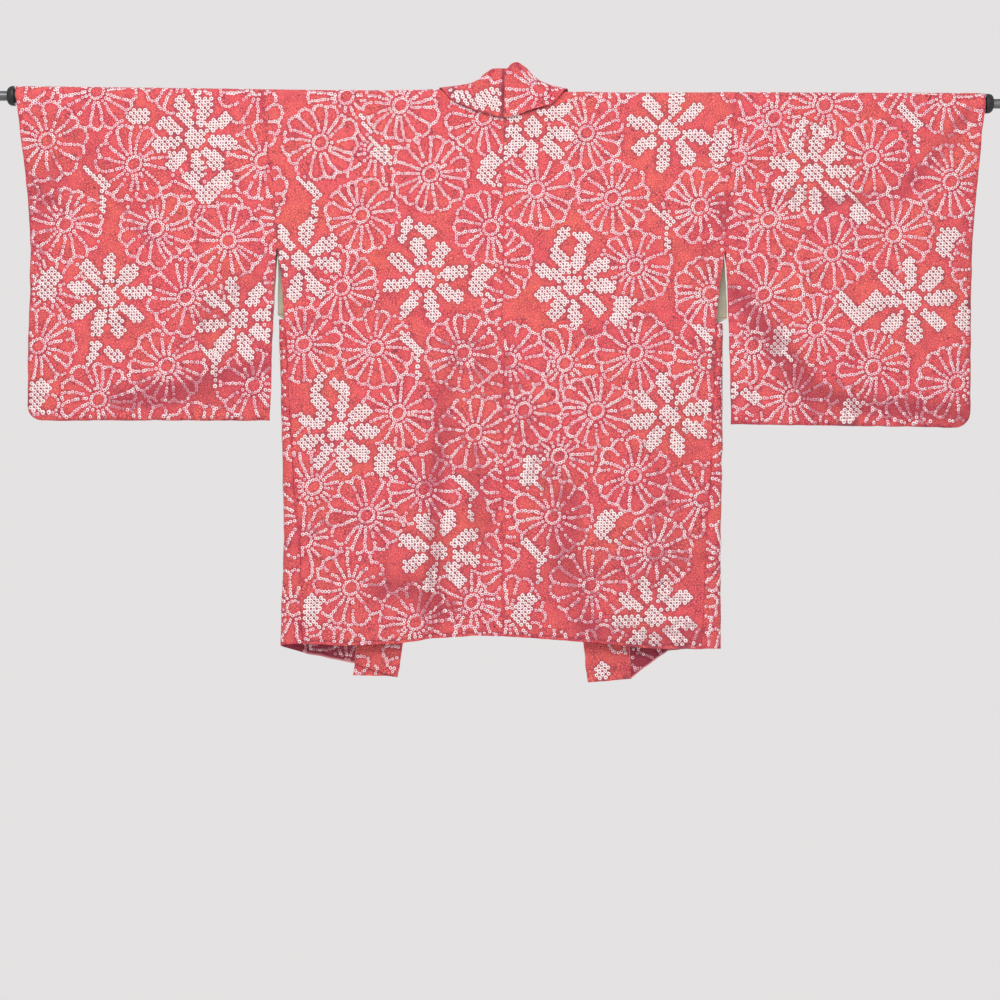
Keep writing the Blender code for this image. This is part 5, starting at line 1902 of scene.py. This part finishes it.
# %% [markdown]
# ## One tied dot
#
# Where silk was pinched and bound, it keeps a low peak: a pale ring that the dye didn't
# reach, round a darker tip. A cone without a point and without a bottom makes both, and it
# has only sixteen triangles, because there are tens of thousands. Its top is marked "tip".
# %% One tied dot
DOME_SIDES = 6
DOME_SUNK = 0.00025         # hides the rim in cloth that isn't flat
DOME_SIZES = {
    "Line Ring": 0.00275,
    "Line Tip": 0.001,
    "Packed Ring": 0.00365,
    "Packed Tip": 0.001,
    "Height": 0.0008,
}


def one_dome(words, ring_radius, tip_radius, height):
    cone = words.node(
        "GeometryNodeMeshCone",
        Vertices=DOME_SIDES, Radius_Bottom=ring_radius, Radius_Top=tip_radius, Depth=height,
    )
    cone.fill_type = "NGON"
    whole, bottom = cone.outputs["Mesh"], cone.outputs["Bottom"]
    open_cone = words.node("GeometryNodeDeleteGeometry", Geometry=whole, Selection=bottom)
    open_cone.domain = "FACE"
    bare = open_cone.outputs["Geometry"]
    top = words.node("GeometryNodeStoreNamedAttribute", Geometry=bare, Name="tip")
    top.data_type = "BOOLEAN"
    top.domain = "FACE"
    words.feed(top.inputs["Value"], cone.outputs["Top"])
    sunk = words.node("GeometryNodeTransform", Geometry=top.outputs["Geometry"])
    words.feed(sunk.inputs["Translation"], (0.0, 0.0, -DOME_SUNK))
    return sunk.outputs["Geometry"]


print("rings:", {name: size for name, size in DOME_SIZES.items() if "Ring" in name}, "m in radius")

# %% [markdown]
# ## A dome on every place
#
# Geometry Nodes put one dome on every place. The tree takes the sizes of the dots in lines
# and of the packed ones as named inputs, makes a dome in each of the six finishes, and
# picks one by the dot's number. The copies are made real at the end.
# %% A dome on every place
def stored(words, name, data_type):
    node = words.node("GeometryNodeInputNamedAttribute", Name=name)
    node.data_type = data_type
    return node.outputs["Attribute"]


def all_domes(words, entry, finishes):
    """One dome for each of the finishes, as instances to pick from."""
    tip = stored(words, "tip", "BOOLEAN")
    line_dome = one_dome(words, entry["Line Ring"], entry["Line Tip"], entry["Height"])
    packed_dome = one_dome(words, entry["Packed Ring"], entry["Packed Tip"], entry["Height"])
    choices = words.node("GeometryNodeJoinGeometry")
    for ring_finish, tip_finish, packed in reversed(finishes):
        dome = packed_dome if packed else line_dome
        ring = words.node("GeometryNodeSetMaterial", Geometry=dome, Material=ring_finish)
        peak = words.node("GeometryNodeSetMaterial", Geometry=ring.outputs["Geometry"], Material=tip_finish)
        words.feed(peak.inputs["Selection"], tip)
        single = words.node("GeometryNodeGeometryToInstance", Geometry=peak.outputs["Geometry"])
        words.feed(choices.inputs["Geometry"], single.outputs["Instances"])
    return choices.outputs["Geometry"]


def dome_tree(finishes):
    tree = bpy.data.node_groups.new("tied_dots", "GeometryNodeTree")
    tree.interface.new_socket("Dots", in_out="INPUT", socket_type="NodeSocketGeometry")
    for name, value in DOME_SIZES.items():
        socket = tree.interface.new_socket(name, in_out="INPUT", socket_type="NodeSocketFloat")
        socket.default_value = value
    tree.interface.new_socket("Domes", in_out="OUTPUT", socket_type="NodeSocketGeometry")
    words = Nodes(tree)
    entry = words.node("NodeGroupInput").outputs
    leaving = words.node("NodeGroupOutput")
    choices = all_domes(words, entry, finishes)
    facing = stored(words, "facing", "FLOAT_VECTOR")
    turn = words.node("FunctionNodeAlignRotationToVector", Vector=facing)
    turn.axis = "Z"
    spin = words.node("FunctionNodeRotateRotation", Rotation=turn.outputs["Rotation"])
    spin.rotation_space = "LOCAL"
    words.feed(spin.inputs["Rotate By"], stored(words, "spin", "FLOAT_VECTOR"))
    place = words.node(
        "GeometryNodeInstanceOnPoints",
        Points=entry["Dots"], Instance=choices, Pick_Instance=True,
        Instance_Index=stored(words, "finish", "INT"),
        Rotation=spin.outputs["Rotation"], Scale=stored(words, "size", "FLOAT"),
    )
    real = words.node("GeometryNodeRealizeInstances", Geometry=place.outputs["Instances"])
    words.feed(leaving.inputs["Domes"], real.outputs["Geometry"])
    return tree


dome_group = dome_tree(DOT_FINISHES)
print(dome_group.name, "has", len(dome_group.nodes), "nodes")

# %% [markdown]
# ## Tied dots
#
# No two dots are tied alike. Each gets a turn and a size of its own, and some the second
# finish. The deeper the fold, the more dots get the shaded finish. The random draws come
# from a fixed seed for each piece.
# %% Tied dots
SHADED_SHARE = 0.8          # of the dots in the darkest fold get the shaded finish
SECOND_SHARE = 0.4
PACKED_SIZES = (0.96, 1.05)
LINE_SIZES = (0.84, 1.14)
FIRST_SHADED = 4            # its number in DOT_FINISHES


def dot_object(name, placed_dots, tree, seed):
    points, facings, kinds, shades = placed_dots
    rng = np.random.default_rng(seed)
    count = len(points)
    packed = np.array(kinds) == FILLED
    mesh = bpy.data.meshes.new(name)
    mesh.from_pydata([point[:] for point in points], [], [])
    second = rng.random(count) < SECOND_SHARE
    shaded = rng.random(count) < np.array(shades) * SHADED_SHARE
    spin = rng.uniform(0.0, math.tau, count)
    packed_size = rng.uniform(*PACKED_SIZES, count)
    line_size = rng.uniform(*LINE_SIZES, count)
    store(mesh, "facing", "FLOAT_VECTOR", "vector", facings)
    store(mesh, "spin", "FLOAT_VECTOR", "vector", np.column_stack([0.0 * spin, 0.0 * spin, spin]))
    store(mesh, "size", "FLOAT", "value", np.where(packed, packed_size, line_size))
    finish = np.where(shaded, FIRST_SHADED + packed, 2 * packed + second)
    store(mesh, "finish", "INT", "value", finish, np.int32)
    obj = put_in_scene(name, mesh)
    domes = obj.modifiers.new("domes", "NODES")
    domes.node_group = tree
    for size_name, value in DOME_SIZES.items():
        domes[tree.interface.items_tree[size_name].identifier] = value
    made = evaluated_mesh(obj)
    obj.modifiers.remove(domes)
    obj.data = made
    return obj


dots = {}
for seed, (name, placed_dots) in enumerate(placed.items()):
    dots[name] = dot_object(name + "_dots", placed_dots, dome_group, 200 + seed)
    print(dots[name].name, len(dots[name].data.polygons), "faces")

# %% [markdown]
# ## Lining
#
# Below each armhole the side is open, and the edge of the lining shows there as a narrow
# cream strip on the inside of the front. Its cut edge wavers a little.
# %% Lining
LINING_TOP_Z = -0.203
LINING_END_Z = -0.284
LINING_WIDTH = 0.016
LINING_INSET = 0.0006       # from the front's edge
LINING_CLOTH = 0.001
LINING_WAVER = 0.0007
LINING_WAVES = (0.0061, 0.0173)
LINING_ROWS, LINING_COLUMNS = 40, 9


def lining_panel(side):
    z = np.linspace(LINING_TOP_Z, LINING_END_Z, LINING_ROWS)[:, None]
    share = np.linspace(0.0, 1.0, LINING_COLUMNS)[None, :]
    waver = LINING_WAVER * (1.0 + np.sin(z / LINING_WAVES[0]) * np.sin(z / LINING_WAVES[1]))
    edge = outer_x(side, "front", z) - LINING_INSET - waver
    x = SIDES[side] * (edge - LINING_WIDTH * (1.0 - share) + waver * (1.0 - share))
    s = s_at("front", z) + np.zeros_like(share)
    space = hang(x, s)
    space[..., 1] -= SEAM_GAP + LINING_CLOTH
    facing = (LINING_ROWS // 2, LINING_COLUMNS // 2, (0.0, 1.0, 0.0))
    return make_panel("lining_" + side, space, x, s, facing, LINING_CLOTH)


linings = {"lining_" + side: lining_panel(side) for side in SIDES}
for name, panel in linings.items():
    print(name, panel.x.shape, "rows and columns")

# %% [markdown]
# ## Cloth pieces
#
# The wrong side of the cloth is the cream lining. Only near the hems and at the wrists
# is the jacket's own silk turned in as a facing.
# %% Cloth pieces
BODY_FACING = 0.165         # how far the own silk is turned in at the hems
CUFF_FACING = 0.03


def is_faced(panel):
    """True for the grid faces whose wrong side is covered with the jacket's own silk."""
    rows, columns = panel.x.shape
    if panel.name.startswith("body"):
        from_hem = np.minimum(panel.s - panel.s[:1], panel.s[-1:] - panel.s).mean(axis=1)
        return np.repeat(0.5 * (from_hem[1:] + from_hem[:-1]) < BODY_FACING, columns - 1)
    if panel.name.startswith("sleeve"):
        from_wrist = np.abs(panel.x - panel.x[:, -1:]).mean(axis=0)
        return np.tile(0.5 * (from_wrist[1:] + from_wrist[:-1]) < CUFF_FACING, rows - 1)
    return np.ones(len(panel.faces), bool)


def flat_area(panel):
    """The area of the cut cloth, from the flat coordinates of its faces."""
    x, y = panel.x.ravel()[panel.faces], panel.s.ravel()[panel.faces]
    crossed = x * np.roll(y, -1, axis=1) - y * np.roll(x, -1, axis=1)
    return float(np.abs(crossed.sum(axis=1)).sum() * 0.5)


cloths = {}
for panel in panels.values():
    faced = is_faced(panel)
    # The collar's inside is the plain silk; a facing gets the copy with painted shade.
    turned_in = shibori_silk if panel.name.startswith("collar") else facing_silk
    cloths[panel.name] = cloth_object(panel, (shibori_silk, lining_silk, turned_in), faced, painted_lights_and_seams[panel.name])
    print(panel.name, "cut area", round(flat_area(panel), 4), "m2,", round(100 * faced.mean()), "% faced")
for name, panel in linings.items():
    every = np.ones(len(panel.faces), bool)
    cloths[name] = cloth_object(panel, (lining_silk, lining_silk, lining_silk), every)

# %% [markdown]
# ## The rod and its caps
#
# The rod and its end bars keep their plain forms and get their finishes: satin black
# plastic, and grey metal brushed along its length. Each end cap is moulded, with a narrow
# rim against the sleeve and a dome that narrows to the bar, turned from a profile.
# %% The rod and its caps
ROD_FINISHES = {"rod": black_plastic, "rod_bar_left": grey_metal, "rod_bar_right": grey_metal}
CAP_SIDES = 48
CAP_EDGE = 0.0008           # rounding of the rim
CAP_RIM = 0.0022            # length of the straight part
CAP_NECK = 0.0072           # radius where the dome ends at the bar
CAP_STEPS = 10              # points of each curve of the profile
SHARP_ANGLE = math.radians(50.0)


def moulded_cap(name):
    """The cap's profile turned round the rod, in the box of its plain solid."""
    low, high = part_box(name)
    start, end = sorted((low[0], high[0]), key=abs)
    radius = 0.5 * (high[2] - low[2])
    middle = (0.5 * (low[1] + high[1]), 0.5 * (low[2] + high[2]))
    length = abs(end - start)
    quarter = np.linspace(0.0, 0.5 * math.pi, CAP_STEPS)
    profile = [(CAP_EDGE * (1.0 - math.cos(a)), radius - CAP_EDGE * (1.0 - math.sin(a))) for a in quarter]
    for a in quarter:
        dome_radius = CAP_NECK + (radius - CAP_NECK) * math.cos(a)
        profile.append((CAP_RIM + (length - CAP_RIM) * math.sin(a), dome_radius))
    form = bmesh.new()
    rings = []
    for along, ring_radius in profile:
        x = start + math.copysign(along, end - start)
        ring = []
        for turn in np.linspace(0.0, math.tau, CAP_SIDES, endpoint=False):
            place = (x, middle[0] + ring_radius * math.cos(turn), middle[1] + ring_radius * math.sin(turn))
            ring.append(form.verts.new(place))
        rings.append(ring)
    for ring, after in zip(rings, rings[1:]):
        for k in range(CAP_SIDES):
            form.faces.new((ring[k - 1], ring[k], after[k], after[k - 1]))
    for ring in (rings[0], rings[-1]):
        form.faces.new(ring)
    bmesh.ops.recalc_face_normals(form, faces=form.faces)
    mesh = bpy.data.meshes.new(name + "_cap")
    form.to_mesh(mesh)
    form.free()
    mesh.polygons.foreach_set("use_smooth", [True] * len(mesh.polygons))
    mesh.set_sharp_from_angle(angle=SHARP_ANGLE)
    mesh.materials.append(black_plastic)
    return put_in_scene(name + "_cap", mesh)


for name, finish in ROD_FINISHES.items():
    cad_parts[name].material_slots[0].material = finish
caps = {"rod_knob_" + side: moulded_cap("rod_knob_" + side) for side in SIDES}
print("finishes for", len(ROD_FINISHES), "solids of the rod, and", len(caps), "caps")

# %% [markdown]
# ## Onto the one body
#
# Every piece rides on the one body. A cloth stands for its plain solid, which is hidden,
# and so does each moulded cap.
# %% Onto the one body
for piece in dots.values():
    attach(piece, "root")
for name, cap in caps.items():
    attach(cap, "root")
    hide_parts(name)
for name, cloth in cloths.items():
    panel = {**panels, **linings}[name]
    also = (name, name.replace("body", "facing"), name.replace("collar", "collar_end"))
    on_it = [dots[key] for key in dict.fromkeys(also) if key in dots]
    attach(cloth, "root")
    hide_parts(name)
